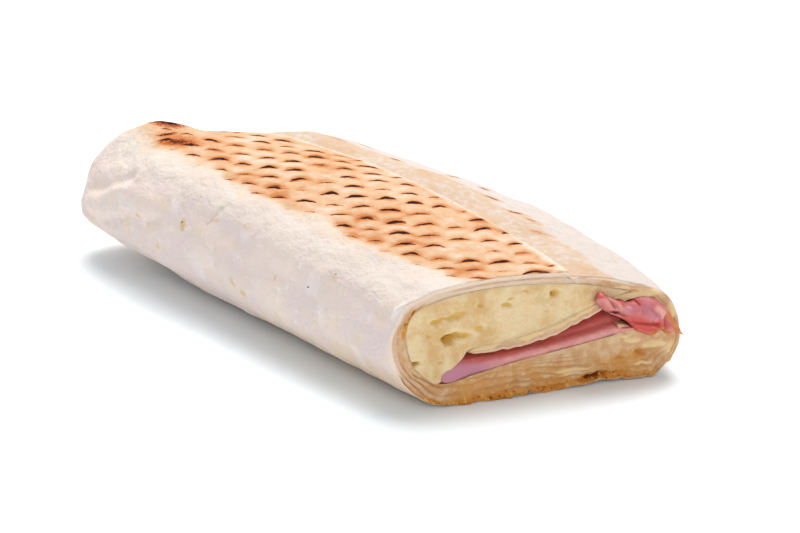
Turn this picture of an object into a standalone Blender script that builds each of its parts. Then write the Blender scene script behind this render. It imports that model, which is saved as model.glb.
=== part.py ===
"""A pressed and grilled flatbread wrap, cut open at one end, filled with cheese and ham.

One thin sheet of flatbread is rolled round its filling. Its free edge lies along the top,
the sheet goes once round the outside and a second time round inside that, and its inner end
runs under the cheese as a tongue. The cheese and the ham run through the roll as solids of
their own. Every outline is drawn once, in the plane of the cut, and carried along the roll
by roll_point(), so the pieces keep their gaps from end to end.

Axes: +X along the roll with the cut end at +X, +Y towards the side behind the seam, +Z up.
The origin is on the surface that the roll lies on, under the middle of the whole.
"""

import math

import bmesh
import bpy
import numpy as np
from mathutils import Vector

MM = 0.001

# Driving dimensions, in millimetres, measured from the middle of the cut's width
CUT_X = 74.0            # where the cut plane crosses the roll's middle line
CUT_SLANT = 0.3755      # the cut leans forward by this much per millimetre of +Y
CUT_HEIGHT = 34.0       # height of the roll at the cut
HALF_WIDTH = 38.0       # half its width there
SQUARE_X = -50.0        # from here to the closed end the sections stand square to X
TIP_X = -86.5           # tip of the closed end
TIP_Y = -28.7           # the tip lies off the middle, towards the near side
TIP_Z = 12.6            # height of the tip
FULL_X = 0.0            # from here to the closed end the roll has its full swell
SWELL_BACK = 12.0       # how far the back side swells out past the cut's width
SWELL_UP = 4.3          # how far the top swells up past the cut's height
SWELL_FROM_Y = -35.0    # the swell to the back grows from here
SWELL_TO_Y = 40.0       # to here across the roll
SWELL_END = (40.0, 68.0)    # it dies away between these places, as -x
HUMP_X = -44.0          # middle of a low hump behind the seam
HUMP_LENGTH = 14.0      # half its length
HUMP_UP = 2.0           # its height
HUMP_ACROSS = (-5.0, 20.0)  # it rises between these places across the roll
HUMP_ABOVE = (12.0, 26.0)   # and between these heights
CORNER_DROP = 10.0      # how far the near top corner of the closed end sags
CORNER_ALONG = (50.0, 80.0)     # the sag grows between these places, as -x
CORNER_ACROSS = (0.0, 38.0)     # between these places, as -y
CORNER_ABOVE = (12.0, 30.0)     # and between these heights
GAP = 0.3               # gap between touching pieces, and between turns of the sheet
FILLING_END = -64.0     # where the filling stops inside the closed end
HOLLOW_END = -66.0      # where the hollow of the roll stops

# How the closed end rounds off on each side: (where it starts, power of the rounding)
ROUND_BACK = (1.6, 2.0)
ROUND_NEAR = (-61.7, 2.9)
ROUND_UNDER = (-21.6, 1.6)
ROUND_TOP = (-69.0, 2.8)

# The roll's outline in the plane of the cut, from the free edge of the sheet over the near
# side, along the bottom and back to the foot of the seam: (y, z, thickness of outer turn)
OUTLINE = [
    (9.0, 33.2, 1.6), (-3.0, 34.0, 1.4), (-15.0, 34.0, 1.3), (-26.0, 32.5, 1.4),
    (-33.5, 29.0, 1.9), (-37.2, 23.0, 2.2), (-38.0, 17.0, 2.4), (-36.6, 11.0, 2.7),
    (-33.0, 5.6, 3.0), (-27.5, 1.7, 3.2), (-20.0, 0.0, 3.2), (-8.0, 0.0, 3.6),
    (6.0, 0.0, 4.4), (20.0, 0.0, 5.0), (29.0, 0.0, 4.6), (34.6, 2.9, 3.2),
    (37.8, 8.4, 1.7), (37.4, 15.0, 1.6), (34.8, 21.0, 1.7), (31.0, 24.8, 1.9),
    (24.0, 27.4, 2.1), (15.5, 30.0, 2.0), (9.3, 31.6, 2.0),
]
MOUTH = (10.4, 0.5)     # y of the slot's mouth at the seam, and its rise over the slot

# The hollow of the roll, in the same plane: over the cheese, under the ham slice, round the
# ham fold, then back along both sides of the sheet's inner end, the tongue
ROOF = [
    (23.5, 25.3), (15.5, 27.7), (8.0, 29.5), (-4.0, 31.0), (-16.0, 31.2), (-26.0, 29.7),
    (-31.4, 27.2), (-33.3, 23.0), (-33.3, 17.5), (-31.4, 12.2), (-28.2, 8.6),
]
FLOOR = [
    (-23.6, 6.5), (-15.0, 7.3), (-3.4, 9.2), (5.5, 10.6), (14.0, 12.3), (20.6, 13.9),
]
FOLD_POCKET = [
    (20.6, 16.4), (23.4, 15.2), (27.0, 12.6), (31.0, 11.0), (34.0, 12.4), (34.6, 15.6),
    (33.0, 19.2), (29.6, 21.8), (25.0, 22.8),
]
TONGUE_UNDER = [
    (19.6, 22.4), (14.5, 20.6), (9.0, 18.2), (2.5, 15.7), (-4.7, 14.4), (-11.0, 13.9),
    (-15.6, 13.9),
]
TONGUE_TIP = [(-17.4, 14.7)]
TONGUE_OVER = [
    (-14.9, 15.6), (-4.7, 16.7), (4.6, 19.1), (12.2, 22.2), (18.4, 24.2),
]

# The loose bottom layers part for a short way behind the cut: (depth as a share of the
# outer turn, depth added in millimetres, first and last place round the outline as shares)
FLAKES = [(0.5, 0.0, 0.40, 0.70), (1.0, 2.2, 0.42, 0.69)]
FLAKE_DEPTH = 7.0       # how far they part behind the cut
FLAKE_END = 0.3         # share of its width that a parting keeps at its ends
ROUGH = 0.3             # how far the cut's points stand in or out
ROUGH_LOW = 0.5         # and how much more among the bottom flakes
ROUGH_HEIGHTS = (4.0, 12.0)     # the bottom flakes end between these heights
# Its waves: (turns per millimetre across and up, in radians, start, share of the height)
ROUGH_WAVES = [(0.9, 1.3, 0.0, 1.0), (2.3, -1.9, 1.0, 0.6)]
ON_CUT = 0.02           # points this near the cut plane belong to the cut

# The rest of the cheese's outline: over the ham slice's tip, round the tongue's tip, and
# its thin edge at the back
CHEESE_UNDER = [(-24.6, 9.4), (-21.6, 11.2), (-19.2, 13.0), (-18.4, 14.9), (-16.0, 16.1)]
CHEESE_TIP = [(20.8, 25.4)]
CHEESE_PROUD = 0.2      # how far the cheese stands out of the cut
# Holes that show in the cheese: (y, z, half width, half height, depth)
CHEESE_HOLES = [
    (-22.3, 18.5, 2.0, 1.1, 4.5), (-25.3, 23.6, 1.5, 0.9, 1.6), (-20.6, 24.0, 2.2, 1.2, 1.4),
    (4.3, 27.4, 1.0, 0.9, 2.5), (-28.6, 13.8, 1.1, 0.8, 2.5), (-15.1, 27.0, 0.9, 0.7, 1.5),
]

# The ham slice's outline at the cut: its thin tip, its underside, its top, and the same top
# where it has risen to the tongue behind the cut
SLICE_TIP = [(-25.4, 7.9)]
SLICE_UNDER = [(-22.6, 7.0), (-15.0, 7.8), (-3.4, 9.7), (5.5, 11.1), (14.0, 12.8), (19.4, 14.2)]
SLICE_OVER = [(19.8, 15.6), (13.0, 15.4), (6.0, 14.3), (-2.0, 13.2), (-10.0, 12.6), (-18.0, 11.0)]
SLICE_DEEP = [(19.8, 21.4), (13.0, 19.0), (6.0, 16.3), (-2.0, 14.1), (-10.0, 13.1), (-18.0, 11.0)]
SLICE_RIPPLE = 0.15     # height of the waves along the slice
SLICE_WAVE = 11.4       # length of a wave
SLICE_RECESS = 0.8      # how far the slice's end stands back from the cut

# The ham fold: its outline inside the roll, and how it spreads where it stands out
FOLD_LOOP = [
    (21.2, 18.0), (23.2, 16.6), (27.3, 13.3), (31.0, 11.8), (33.4, 13.0), (33.9, 15.8),
    (32.2, 18.9), (29.0, 21.2), (24.6, 22.0), (20.8, 20.4),
]
FOLD_SLACK = 0.45       # how much smaller the fold is inside the roll
FOLD_RECESS = 0.5       # the last section of that size, behind the cut
FOLD_CLEAR = 0.9        # the fold comes this far straight out before it spreads
FOLD_OUT = 5.0          # how far it stands out of the cut in all
FOLD_REACH = 6.0        # distance from its middle over which the spread grows
FOLD_LEFT = (-7.0, 3.2) # how far its ragged edge spreads over the cut: across and up
FOLD_TIP = (3.4, -1.6)  # how far the torn tip reaches: across and down
FOLD_CRUMPLE = 0.12     # depth of the creases as a share of the distance to the middle
FOLD_CREASES = [(5.0, 0.0, 0.6), (9.0, 1.0, 0.4)]   # (creases in a turn, start, share)
FOLD_SPREAD = 0.7       # power of the spread: below 1 it spreads early and closes late
FOLD_SWELL = 0.10       # how much fuller the fold is halfway out, as a share
FOLD_CLOSE = (0.55, 4.0)    # how much it closes at its end, as a share, and the power
FOLD_FIRST = 0.08       # first section of the spread, as a share of the way out

SHEET_POINTS = 60       # points round the outer turn
HOLLOW_STEP = 2.4       # distance between points round the hollow
FOLD_STEP = 1.5         # distance between points round the fold
BODY_STATIONS = 12      # sections along the straight part of the roll
END_STATIONS = 9        # sections where the closed end rounds off
INNER_STATIONS = 9      # sections that the hollow and the fillings share past the ramp
SHARED_FROM = 1.0       # the first section that they share lies this far behind the cut
RAMP_DEPTH = 8.0        # the second, where the ham slice's ramp ends, this far
SHARED_TO = 2.0         # and the last this far before the end of the filling
FOLD_STATIONS = 8       # sections of the fold outside the cut
CUTTER_OUT = 4.0        # how far the cutters stand out of the cut
SHARP_ANGLE = 40.0      # edges sharper than this many degrees are drawn sharp


def spline(points, step, closed=False):
    """Points about one step apart on a Catmull-Rom curve through the given points."""
    pts = np.array(points, dtype=float)
    spans = len(pts)
    if closed:
        pts = np.vstack([pts[-1:], pts, pts[:2]])
    else:
        first = 2.0 * pts[0] - pts[1]
        last = 2.0 * pts[-1] - pts[-2]
        pts = np.vstack([first, pts, last])
        spans = spans - 1
    out = []
    for i in range(spans):
        a, b, c, d = pts[i:i + 4]
        length = np.linalg.norm((c - b)[:2])
        pieces = max(1, int(round(length / step)))
        t = (np.arange(pieces) / pieces)[:, None]
        out.append(0.5 * (2 * b + (c - a) * t + (2 * a - 5 * b + 4 * c - d) * t ** 2
                          + (3 * b - a - 3 * c + d) * t ** 3))
    if not closed:
        out.append(pts[-2:-1])
    return np.vstack(out)


def left_normals(tangent):
    """Unit vectors to the left of the given directions: into a loop that runs leftwards."""
    unit = tangent / np.linalg.norm(tangent, axis=1)[:, None]
    return np.column_stack([-unit[:, 1], unit[:, 0]])


def shift_inward(loop, distance):
    """The same closed outline, a given distance smaller all round."""
    tangent = np.roll(loop, -1, axis=0) - np.roll(loop, 1, axis=0)
    return loop + left_normals(tangent) * distance


def smoothstep(x, start, end):
    """0 before start, 1 after end, and a smooth rise between them."""
    t = np.clip((x - start) / (end - start), 0.0, 1.0)
    return t * t * (3.0 - 2.0 * t)


def round_off(x, rounding):
    """1 up to where the rounding starts, then a rounded fall to 0 at the tip."""
    start, power = rounding
    q = min(max((start - x) / (start - TIP_X), 0.0), 1.0)
    return (1.0 - q ** power) ** (1.0 / power)


def roll_point(section, x):
    """Carries points (y, z) of the cut plane to the section whose middle is at x."""
    y = section[:, 0]
    y_low = TIP_Y - (HALF_WIDTH + TIP_Y) * round_off(x, ROUND_NEAR)
    y_high = TIP_Y + (HALF_WIDTH - TIP_Y) * round_off(x, ROUND_BACK)
    across = y_low + (y_high - y_low) * (y + HALF_WIDTH) / (2.0 * HALF_WIDTH)
    from_cut = min(max((x - FULL_X) / (CUT_X - FULL_X), 0.0), 1.0)
    swell = (1.0 - from_cut ** 3) * (1.0 - smoothstep(-x, *SWELL_END))
    across = across + SWELL_BACK * swell * smoothstep(y, SWELL_FROM_Y, SWELL_TO_Y)
    taller = 1.0 + SWELL_UP / CUT_HEIGHT * smoothstep(-x, -CUT_X, -FULL_X)
    above = section[:, 1] * taller - TIP_Z
    share = np.where(above > 0.0, round_off(x, ROUND_TOP), round_off(x, ROUND_UNDER))
    hump = HUMP_UP * math.exp(-((x - HUMP_X) / HUMP_LENGTH) ** 2)
    above = above + hump * smoothstep(y, *HUMP_ACROSS) * smoothstep(section[:, 1], *HUMP_ABOVE)
    sag = CORNER_DROP * smoothstep(-x, *CORNER_ALONG)
    above = above - sag * smoothstep(-y, *CORNER_ACROSS) * smoothstep(section[:, 1], *CORNER_ABOVE)
    slant = CUT_SLANT * smoothstep(x, SQUARE_X, CUT_X)
    return np.column_stack([x + slant * across, across, TIP_Z + above * share]) * MM


def section_mesh(name, rings, end_point=None):
    """A closed solid through rings of points, with flat ends or with a pole at end_point."""
    bm = bmesh.new()
    rows = [[bm.verts.new(point) for point in ring] for ring in rings]
    count = len(rows[0])
    for near, far in zip(rows[:-1], rows[1:]):
        for i in range(count):
            j = (i + 1) % count
            bm.faces.new((near[i], near[j], far[j], far[i]))
    bm.faces.new(list(reversed(rows[0])))
    if end_point is None:
        bm.faces.new(rows[-1])
    else:
        pole = bm.verts.new(end_point)
        for i in range(count):
            bm.faces.new((rows[-1][i], rows[-1][(i + 1) % count], pole))
    bmesh.ops.recalc_face_normals(bm, faces=bm.faces[:])
    mesh = bpy.data.meshes.new(name)
    bm.to_mesh(mesh)
    bm.free()
    return bpy.data.objects.new(name, mesh)


def loft(name, loop, stations):
    """A solid carried along the roll through the stations, from the cut inwards."""
    return section_mesh(name, [roll_point(loop, x) for x in stations])


def body_stations():
    """Sections of the roll: even along the straight part, closer where the end rounds off."""
    start = ROUND_NEAR[0]
    straight = np.linspace(CUT_X, start, BODY_STATIONS)
    angle = np.linspace(0.0, math.pi / 2, END_STATIONS + 2)[1:-1]
    return np.concatenate([straight, start + (TIP_X - start) * np.sin(angle)])


def inner_stations(front, back):
    """Sections inside the roll, the same for all pieces, with a first and a last one."""
    shared = np.linspace(CUT_X - RAMP_DEPTH, FILLING_END + SHARED_TO, INNER_STATIONS)
    return np.concatenate([[front, CUT_X - SHARED_FROM], shared, [back]])


def cut_away(body, cutters):
    """Takes the cutters out of the body and leaves one plain mesh of triangles."""
    for cutter in cutters:
        cut = body.modifiers.new("cut " + cutter.name, 'BOOLEAN')
        cut.operation = 'DIFFERENCE'
        cut.object = cutter
        cut.solver = 'EXACT'
    bpy.context.view_layer.update()
    graph = bpy.context.evaluated_depsgraph_get()
    mesh = bpy.data.meshes.new_from_object(body.evaluated_get(graph))
    body.modifiers.clear()
    body.data = mesh
    bm = bmesh.new()
    bm.from_mesh(mesh)
    bmesh.ops.remove_doubles(bm, verts=bm.verts[:], dist=0.000001)
    bmesh.ops.triangulate(bm, faces=bm.faces[:])
    bm.to_mesh(mesh)
    bm.free()


def outer_outline():
    """The roll's outline with the thickness of its outer turn, flat where it rests."""
    length = len(spline(OUTLINE, 1.0))
    curve = spline(OUTLINE, length / SHEET_POINTS)
    curve[:, 1] = np.maximum(curve[:, 1], 0.0)
    return curve


def hollow_loop(curve, normal):
    """Outline of all that isn't bread inside the roll.

    It runs from the seam along the outer side of the narrow slot between the two turns of
    the sheet, round the hollow, and back along the inner side of the slot to the seam.
    """
    middle = curve[:, :2] + normal * curve[:, 2:]
    keep = len(curve) - 1
    while middle[keep, 0] < ROOF[0][0]:
        keep -= 1
    middle = middle[:keep]
    aside = normal[:keep] * GAP / 2.0
    mouth_y, mouth_rise = MOUTH
    mouth_z = middle[0, 1] + mouth_rise
    outer = np.vstack([[[mouth_y, mouth_z + mouth_rise]], middle - aside])
    inner = np.vstack([[[mouth_y + GAP, mouth_z - GAP / 3.0]], middle + aside])
    hollow = spline(ROOF + FLOOR + FOLD_POCKET + TONGUE_UNDER + TONGUE_TIP + TONGUE_OVER,
                    HOLLOW_STEP)
    return np.vstack([outer, hollow, inner[::-1]])


def flake_parting(name, curve, normal, flake):
    """A thin curved slab that parts two layers of bread for a short way behind the cut."""
    share, added, first, last = flake
    span = slice(int(first * len(curve)), int(last * len(curve)), 2)
    depth = curve[span, 2:] * share + added
    line = curve[span, :2] + normal[span] * depth
    aside = normal[span] * GAP / 2.0
    aside[0] *= FLAKE_END
    aside[-1] *= FLAKE_END
    loop = np.vstack([line - aside, (line + aside)[::-1]])
    return loft(name, loop, (CUT_X + CUTTER_OUT, CUT_X - FLAKE_DEPTH))


def roughen_cut(mesh):
    """Moves the points of the cut in or out a little, more among the bottom flakes."""
    for vertex in mesh.vertices:
        x, y, z = [value / MM for value in vertex.co]
        if abs(x - CUT_SLANT * y - CUT_X) > ON_CUT:
            continue
        wave = sum(share * math.sin(across * y + upward * z + start)
                   for across, upward, start, share in ROUGH_WAVES)
        low = 1.0 - smoothstep(z, *ROUGH_HEIGHTS)
        vertex.co.x += (ROUGH + ROUGH_LOW * low) * wave * MM


def make_flatbread(food, cutters):
    """The rolled sheet: the roll's solid, less the slot between its turns and its hollow."""
    curve = outer_outline()
    normal = left_normals(np.gradient(curve[:, :2], axis=0))
    sections = [roll_point(curve[:, :2], x) for x in body_stations()]
    bread = section_mesh("flatbread", sections, np.array([TIP_X, TIP_Y, TIP_Z]) * MM)
    food.objects.link(bread)
    partings = [loft("roll_hollow", hollow_loop(curve, normal),
                     inner_stations(CUT_X + CUTTER_OUT, HOLLOW_END))]
    for index, flake in enumerate(FLAKES):
        partings.append(flake_parting("flake_%d" % index, curve, normal, flake))
    for cutter in partings:
        cutters.objects.link(cutter)
    cut_away(bread, partings)
    roughen_cut(bread.data)
    return bread


def make_cheese(food, cutters):
    """The melted cheese between the sheet's turns and its tongue, with holes at the cut."""
    loop = spline(ROOF[1:] + CHEESE_UNDER + TONGUE_OVER[1:] + CHEESE_TIP, HOLLOW_STEP, closed=True)
    front = CUT_X + CHEESE_PROUD
    cheese = loft("cheese", shift_inward(loop, GAP), inner_stations(front, FILLING_END))
    food.objects.link(cheese)
    holes = []
    for index, (y, z, wide, high, deep) in enumerate(CHEESE_HOLES):
        bm = bmesh.new()
        bmesh.ops.create_icosphere(bm, subdivisions=2, radius=1.0)
        bmesh.ops.scale(bm, vec=(deep * MM, wide * MM, high * MM), verts=bm.verts[:])
        mesh = bpy.data.meshes.new("hole_%d" % index)
        bm.to_mesh(mesh)
        bm.free()
        hole = bpy.data.objects.new("hole_%d" % index, mesh)
        hole.location = roll_point(np.array([[y, z]]), front)[0]
        cutters.objects.link(hole)
        holes.append(hole)
    cut_away(cheese, holes)
    return cheese


def make_ham_slice(food):
    """A slice of ham under the tongue. Its cut end stands back a little, and from there its
    top rises like a ramp until it is close under the tongue."""
    places = np.array(SLICE_TIP + SLICE_UNDER + SLICE_OVER)
    risen = np.array(SLICE_TIP + SLICE_UNDER + SLICE_DEEP)
    loop = spline(places, HOLLOW_STEP, closed=True)
    rise = spline(np.column_stack([places, risen[:, 1] - places[:, 1]]), HOLLOW_STEP, closed=True)
    rise = np.maximum(rise[:, 2], 0.0)
    sections = []
    for x in inner_stations(CUT_X - SLICE_RECESS, FILLING_END):
        wave = SLICE_RIPPLE * math.sin(2.0 * math.pi * x / SLICE_WAVE)
        share = np.clip((CUT_X - x - SHARED_FROM) / (RAMP_DEPTH - SHARED_FROM), 0.0, 1.0)
        lift = np.column_stack([np.zeros(len(loop)), wave + rise * share])
        sections.append(roll_point(loop + lift, x))
    ham = section_mesh("ham_slice", sections)
    food.objects.link(ham)
    return ham


def make_ham_fold(food):
    """A crumpled fold of ham at the back of the roll, which stands out of the cut."""
    loop = spline(FOLD_LOOP, FOLD_STEP, closed=True)
    centre = loop.mean(axis=0)
    reach = loop - centre
    angle = np.arctan2(reach[:, 1], reach[:, 0])
    creases = sum(share * np.sin(count * angle + start) for count, start, share in FOLD_CREASES)
    inside = shift_inward(loop, FOLD_SLACK)
    stations = inner_stations(CUT_X - FOLD_RECESS, FILLING_END)[::-1]
    sections = [roll_point(inside, x) for x in stations]
    sections.append(roll_point(inside, CUT_X + FOLD_CLEAR))
    left = np.clip(-reach[:, 0] / FOLD_REACH, 0.0, 1.0)[:, None] ** 2
    right = np.clip(reach[:, 0] / FOLD_REACH, 0.0, 1.0)[:, None] ** 2
    close, close_power = FOLD_CLOSE
    for t in np.linspace(FOLD_FIRST, 1.0, FOLD_STATIONS):
        spread = max(math.sin(math.pi * t), 0.0) ** FOLD_SPREAD
        swell = 1.0 + FOLD_SWELL * math.sin(math.pi * t) - close * t ** close_power
        shape = centre + reach * (swell + FOLD_CRUMPLE * t * creases[:, None])
        shape = shape + (np.array(FOLD_LEFT) * left + np.array(FOLD_TIP) * right) * spread
        sections.append(roll_point(shape, CUT_X + FOLD_CLEAR + (FOLD_OUT - FOLD_CLEAR) * t))
    ham = section_mesh("ham_fold", sections)
    food.objects.link(ham)
    return ham


def centre_on_floor(pieces):
    """Moves the pieces together so that the origin is under the middle of the whole."""
    corners = np.array([vertex.co for piece in pieces for vertex in piece.data.vertices])
    low = corners.min(axis=0)
    high = corners.max(axis=0)
    move = Vector((-(low[0] + high[0]) / 2.0, -(low[1] + high[1]) / 2.0, -low[2]))
    for piece in pieces:
        for vertex in piece.data.vertices:
            vertex.co = vertex.co + move


def material(name, color, roughness):
    """A plain food finish."""
    mat = bpy.data.materials.new(name)
    mat.use_nodes = True
    shader = mat.node_tree.nodes["Principled BSDF"]
    shader.inputs["Base Color"].default_value = (*color, 1.0)
    shader.inputs["Roughness"].default_value = roughness
    shader.inputs["Metallic"].default_value = 0.0
    return mat


def new_collection(name):
    """A collection linked to the scene."""
    collection = bpy.data.collections.new(name)
    bpy.context.scene.collection.children.link(collection)
    return collection


def main():
    """Builds the four pieces and gives each its finish."""
    for obj in list(bpy.data.objects):
        bpy.data.objects.remove(obj, do_unlink=True)
    food = new_collection("grilled wrap")
    cutters = new_collection("cutters")
    bread = make_flatbread(food, cutters)
    cheese = make_cheese(food, cutters)
    ham_slice = make_ham_slice(food)
    ham_fold = make_ham_fold(food)
    for cutter in cutters.objects:
        cutter.hide_render = True
        cutter.display_type = 'WIRE'
    bread.data.materials.append(material("toasted flatbread", (0.84, 0.72, 0.58), 0.75))
    cheese.data.materials.append(material("melted cheese", (0.86, 0.78, 0.56), 0.45))
    ham = material("cooked ham", (0.74, 0.40, 0.42), 0.40)
    ham_slice.data.materials.append(ham)
    ham_fold.data.materials.append(ham)
    pieces = (bread, cheese, ham_slice, ham_fold)
    centre_on_floor(pieces)
    for piece in pieces:
        piece.data.shade_smooth()
        piece.data.set_sharp_from_angle(angle=math.radians(SHARP_ANGLE))


main()
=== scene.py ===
"""Looks of the grilled wrap: toasted flatbread, melted cheese, a slice and a fold of ham.

Every surface is worked out in millimetres from the sections of the roll, drawn once in the
plane of the cut and carried along the roll by roll(), as the solids of the frame are.
"""

import itertools
import math

import bmesh
import bpy
import numpy as np
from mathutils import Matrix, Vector


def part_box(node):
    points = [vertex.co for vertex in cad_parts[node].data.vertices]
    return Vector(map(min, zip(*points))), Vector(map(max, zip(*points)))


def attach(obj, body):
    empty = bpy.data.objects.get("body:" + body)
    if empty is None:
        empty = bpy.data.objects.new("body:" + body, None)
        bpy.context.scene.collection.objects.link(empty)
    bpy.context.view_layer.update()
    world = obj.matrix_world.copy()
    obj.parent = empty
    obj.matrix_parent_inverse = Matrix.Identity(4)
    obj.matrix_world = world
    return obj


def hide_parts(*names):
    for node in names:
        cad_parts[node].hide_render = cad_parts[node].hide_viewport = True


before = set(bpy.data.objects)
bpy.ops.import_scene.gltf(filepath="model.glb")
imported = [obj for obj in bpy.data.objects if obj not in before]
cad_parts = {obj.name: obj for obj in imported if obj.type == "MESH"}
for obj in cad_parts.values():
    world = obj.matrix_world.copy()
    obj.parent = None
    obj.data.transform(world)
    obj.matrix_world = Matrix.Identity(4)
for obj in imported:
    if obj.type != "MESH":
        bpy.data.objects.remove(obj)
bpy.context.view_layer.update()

MM = 0.001

# The roll, in millimetres from the middle of the cut's width. Pairs of numbers are where a
# smoothstep starts and ends, and each rounding is where it starts along X and its power.
CUT_X = 74.0
CUT_SLANT = 0.3755
CUT_HEIGHT = 34.0
HALF_WIDTH = 38.0
SQUARE_X = -50.0
TIP_X = -86.5
TIP_Y = -28.7
TIP_Z = 12.6
FULL_X = 0.0
SWELL_BACK = 12.0
SWELL_UP = 4.3
SWELL_ACROSS = (-35.0, 40.0)
SWELL_END = (40.0, 68.0)
HUMP_X = -44.0
HUMP_LENGTH = 14.0
HUMP_UP = 2.0
HUMP_ACROSS = (-5.0, 20.0)
HUMP_ABOVE = (12.0, 26.0)
CORNER_DROP = 10.0
CORNER_ALONG = (50.0, 80.0)
CORNER_ACROSS = (0.0, 38.0)
CORNER_ABOVE = (12.0, 30.0)
ROUND_BACK = (1.6, 2.0)
ROUND_NEAR = (-61.7, 2.9)
ROUND_UNDER = (-21.6, 1.6)
ROUND_TOP = (-69.0, 2.8)
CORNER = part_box("flatbread")[0]
SHIFT = np.array(CORNER) / MM - np.array([TIP_X, -HALF_WIDTH, 0.0])

# The flap's rounded free edge, then the outline over the near side, the bottom and the back,
# with the thickness of the outer turn at each of its points
LIP = [(7.4, 32.0), (7.9, 32.4), (7.7, 33.0), (6.8, 33.35)]
OUTLINE = [
    (7.2, 33.3), (-3.0, 34.0), (-15.0, 34.0), (-26.0, 32.5), (-33.5, 29.0), (-37.2, 23.0),
    (-38.0, 17.0), (-36.6, 11.0), (-33.0, 5.6), (-27.5, 1.7), (-20.0, 0.0), (-8.0, 0.0),
    (6.0, 0.0), (20.0, 0.0), (29.0, 0.0), (34.6, 2.9), (37.8, 8.4), (37.4, 15.0),
    (34.8, 21.0), (31.0, 24.8), (24.0, 27.8), (15.5, 30.7), (7.5, 31.7),
]
THICKNESS = [
    1.6, 1.4, 1.3, 1.4, 1.9, 2.2, 2.4, 2.7, 3.0, 3.2, 3.2, 3.6, 4.4, 5.0, 4.6, 3.2, 1.7, 1.6,
    1.7, 1.9, 2.1, 2.0, 2.0,
]
ROOF = [
    (23.5, 25.3), (15.5, 27.7), (8.0, 29.5), (-4.0, 31.0), (-16.0, 31.2), (-26.0, 29.7),
    (-31.4, 27.2), (-33.3, 23.0), (-33.3, 17.5), (-31.4, 12.2), (-28.2, 8.6),
]
FLOOR = [
    (-23.6, 6.7), (-15.0, 8.4), (-3.4, 10.4), (5.5, 11.5), (14.0, 12.7), (20.6, 13.9),
]
FOLD_POCKET = [
    (20.6, 16.4), (23.4, 15.6), (27.0, 13.8), (31.0, 12.8), (33.4, 13.8), (34.0, 15.8),
    (33.0, 19.2), (29.6, 21.8), (25.0, 22.8),
]
# Which place of the hollow's outline lies across from which place of the roll's outline
SPOKES = [
    (0, 2.05), (1, 2.95), (2, 3.9), (3, 5), (4, 6), (5, 7), (6, 8), (7, 9), (8, 10), (9, 10.8),
    (10, 11.6), (11, 12.7), (12, 14), (13, 15.7), (13.6, 17), (14, 18.3), (15, 19.8), (16, 21),
    (17, 22), (18, 23.2), (19, 24.5), (19.5, 25.1), (20, 26), (21, 27), (22, 27.8),
]


def spline(points, step):
    """Points about one step apart on a Catmull-Rom curve, with their places counted in points."""
    pts = np.array(points, dtype=float)
    pts = np.vstack([2 * pts[0] - pts[1], pts, 2 * pts[-1] - pts[-2]])
    curve = []
    place = []
    for i in range(len(points) - 1):
        a, b, c, d = pts[i:i + 4]
        pieces = max(1, int(round(np.linalg.norm(c - b) / step)))
        t = (np.arange(pieces) / pieces)[:, None]
        curve.append(0.5 * (2 * b + (c - a) * t + (2 * a - 5 * b + 4 * c - d) * t ** 2
                            + (3 * b - a - 3 * c + d) * t ** 3))
        place.append(i + t[:, 0])
    curve.append(pts[-2:-1])
    place.append([len(points) - 1.0])
    return np.vstack(curve), np.concatenate(place)


def smoothstep(x, start, end):
    """0 before start, 1 after end, and the rise 3t^2 - 2t^3 between them."""
    t = np.clip((x - start) / (end - start), 0.0, 1.0)
    return t * t * (3.0 - 2.0 * t)


def bump_at(distance):
    """A soft round bump: exp(-distance squared)."""
    return np.exp(-distance ** 2)


def noise(points, size, seed):
    """Smooth noise from -1 to 1: random values on a cubic lattice of the given size, blended
    between the lattice's corners by smoothsteps."""
    count = 32
    table = np.random.default_rng(seed).uniform(-1.0, 1.0, (count, count, count))
    place = np.asarray(points) / size
    cell = np.floor(place).astype(int)
    t = place - cell
    t = t * t * (3.0 - 2.0 * t)
    total = np.zeros(place.shape[:-1])
    for corner in itertools.product((0, 1), repeat=3):
        weight = np.prod(np.where(corner, t, 1.0 - t), axis=-1)
        near = (cell + corner) % count
        total = total + weight * table[near[..., 0], near[..., 1], near[..., 2]]
    return total


def spots(y, z, marks):
    """The strongest of a list of oval marks at each place: (y, z, half width, half height,
    strength), each strength * exp(-(distance in half sizes) squared)."""
    total = np.zeros(np.broadcast(y, z).shape)
    for across, up, wide, high, strength in marks:
        total = np.maximum(total, strength * bump_at(np.hypot((y - across) / wide, (z - up) / high)))
    return total


def strokes(y, z, lines):
    """The sum of a list of soft strokes at each place: (y and z of both ends, half width,
    height), each height * exp(-(distance to the line / half width) squared)."""
    total = np.zeros(np.broadcast(y, z).shape)
    for y0, z0, y1, z1, wide, height in lines:
        along = np.array([y1 - y0, z1 - z0])
        t = ((y - y0) * along[0] + (z - z0) * along[1]) / (along ** 2).sum()
        t = np.clip(t, 0.0, 1.0)
        away = np.hypot(y - y0 - t * along[0], z - z0 - t * along[1])
        total = total + height * bump_at(away / wide)
    return total


def round_off(x, rounding):
    """1 up to where the rounding starts, then (1 - q^power)^(1/power) down to 0 at the tip."""
    start, power = rounding
    q = np.clip((start - x) / (start - TIP_X), 0.0, 1.0)
    return (1.0 - q ** power) ** (1.0 / power)


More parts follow.
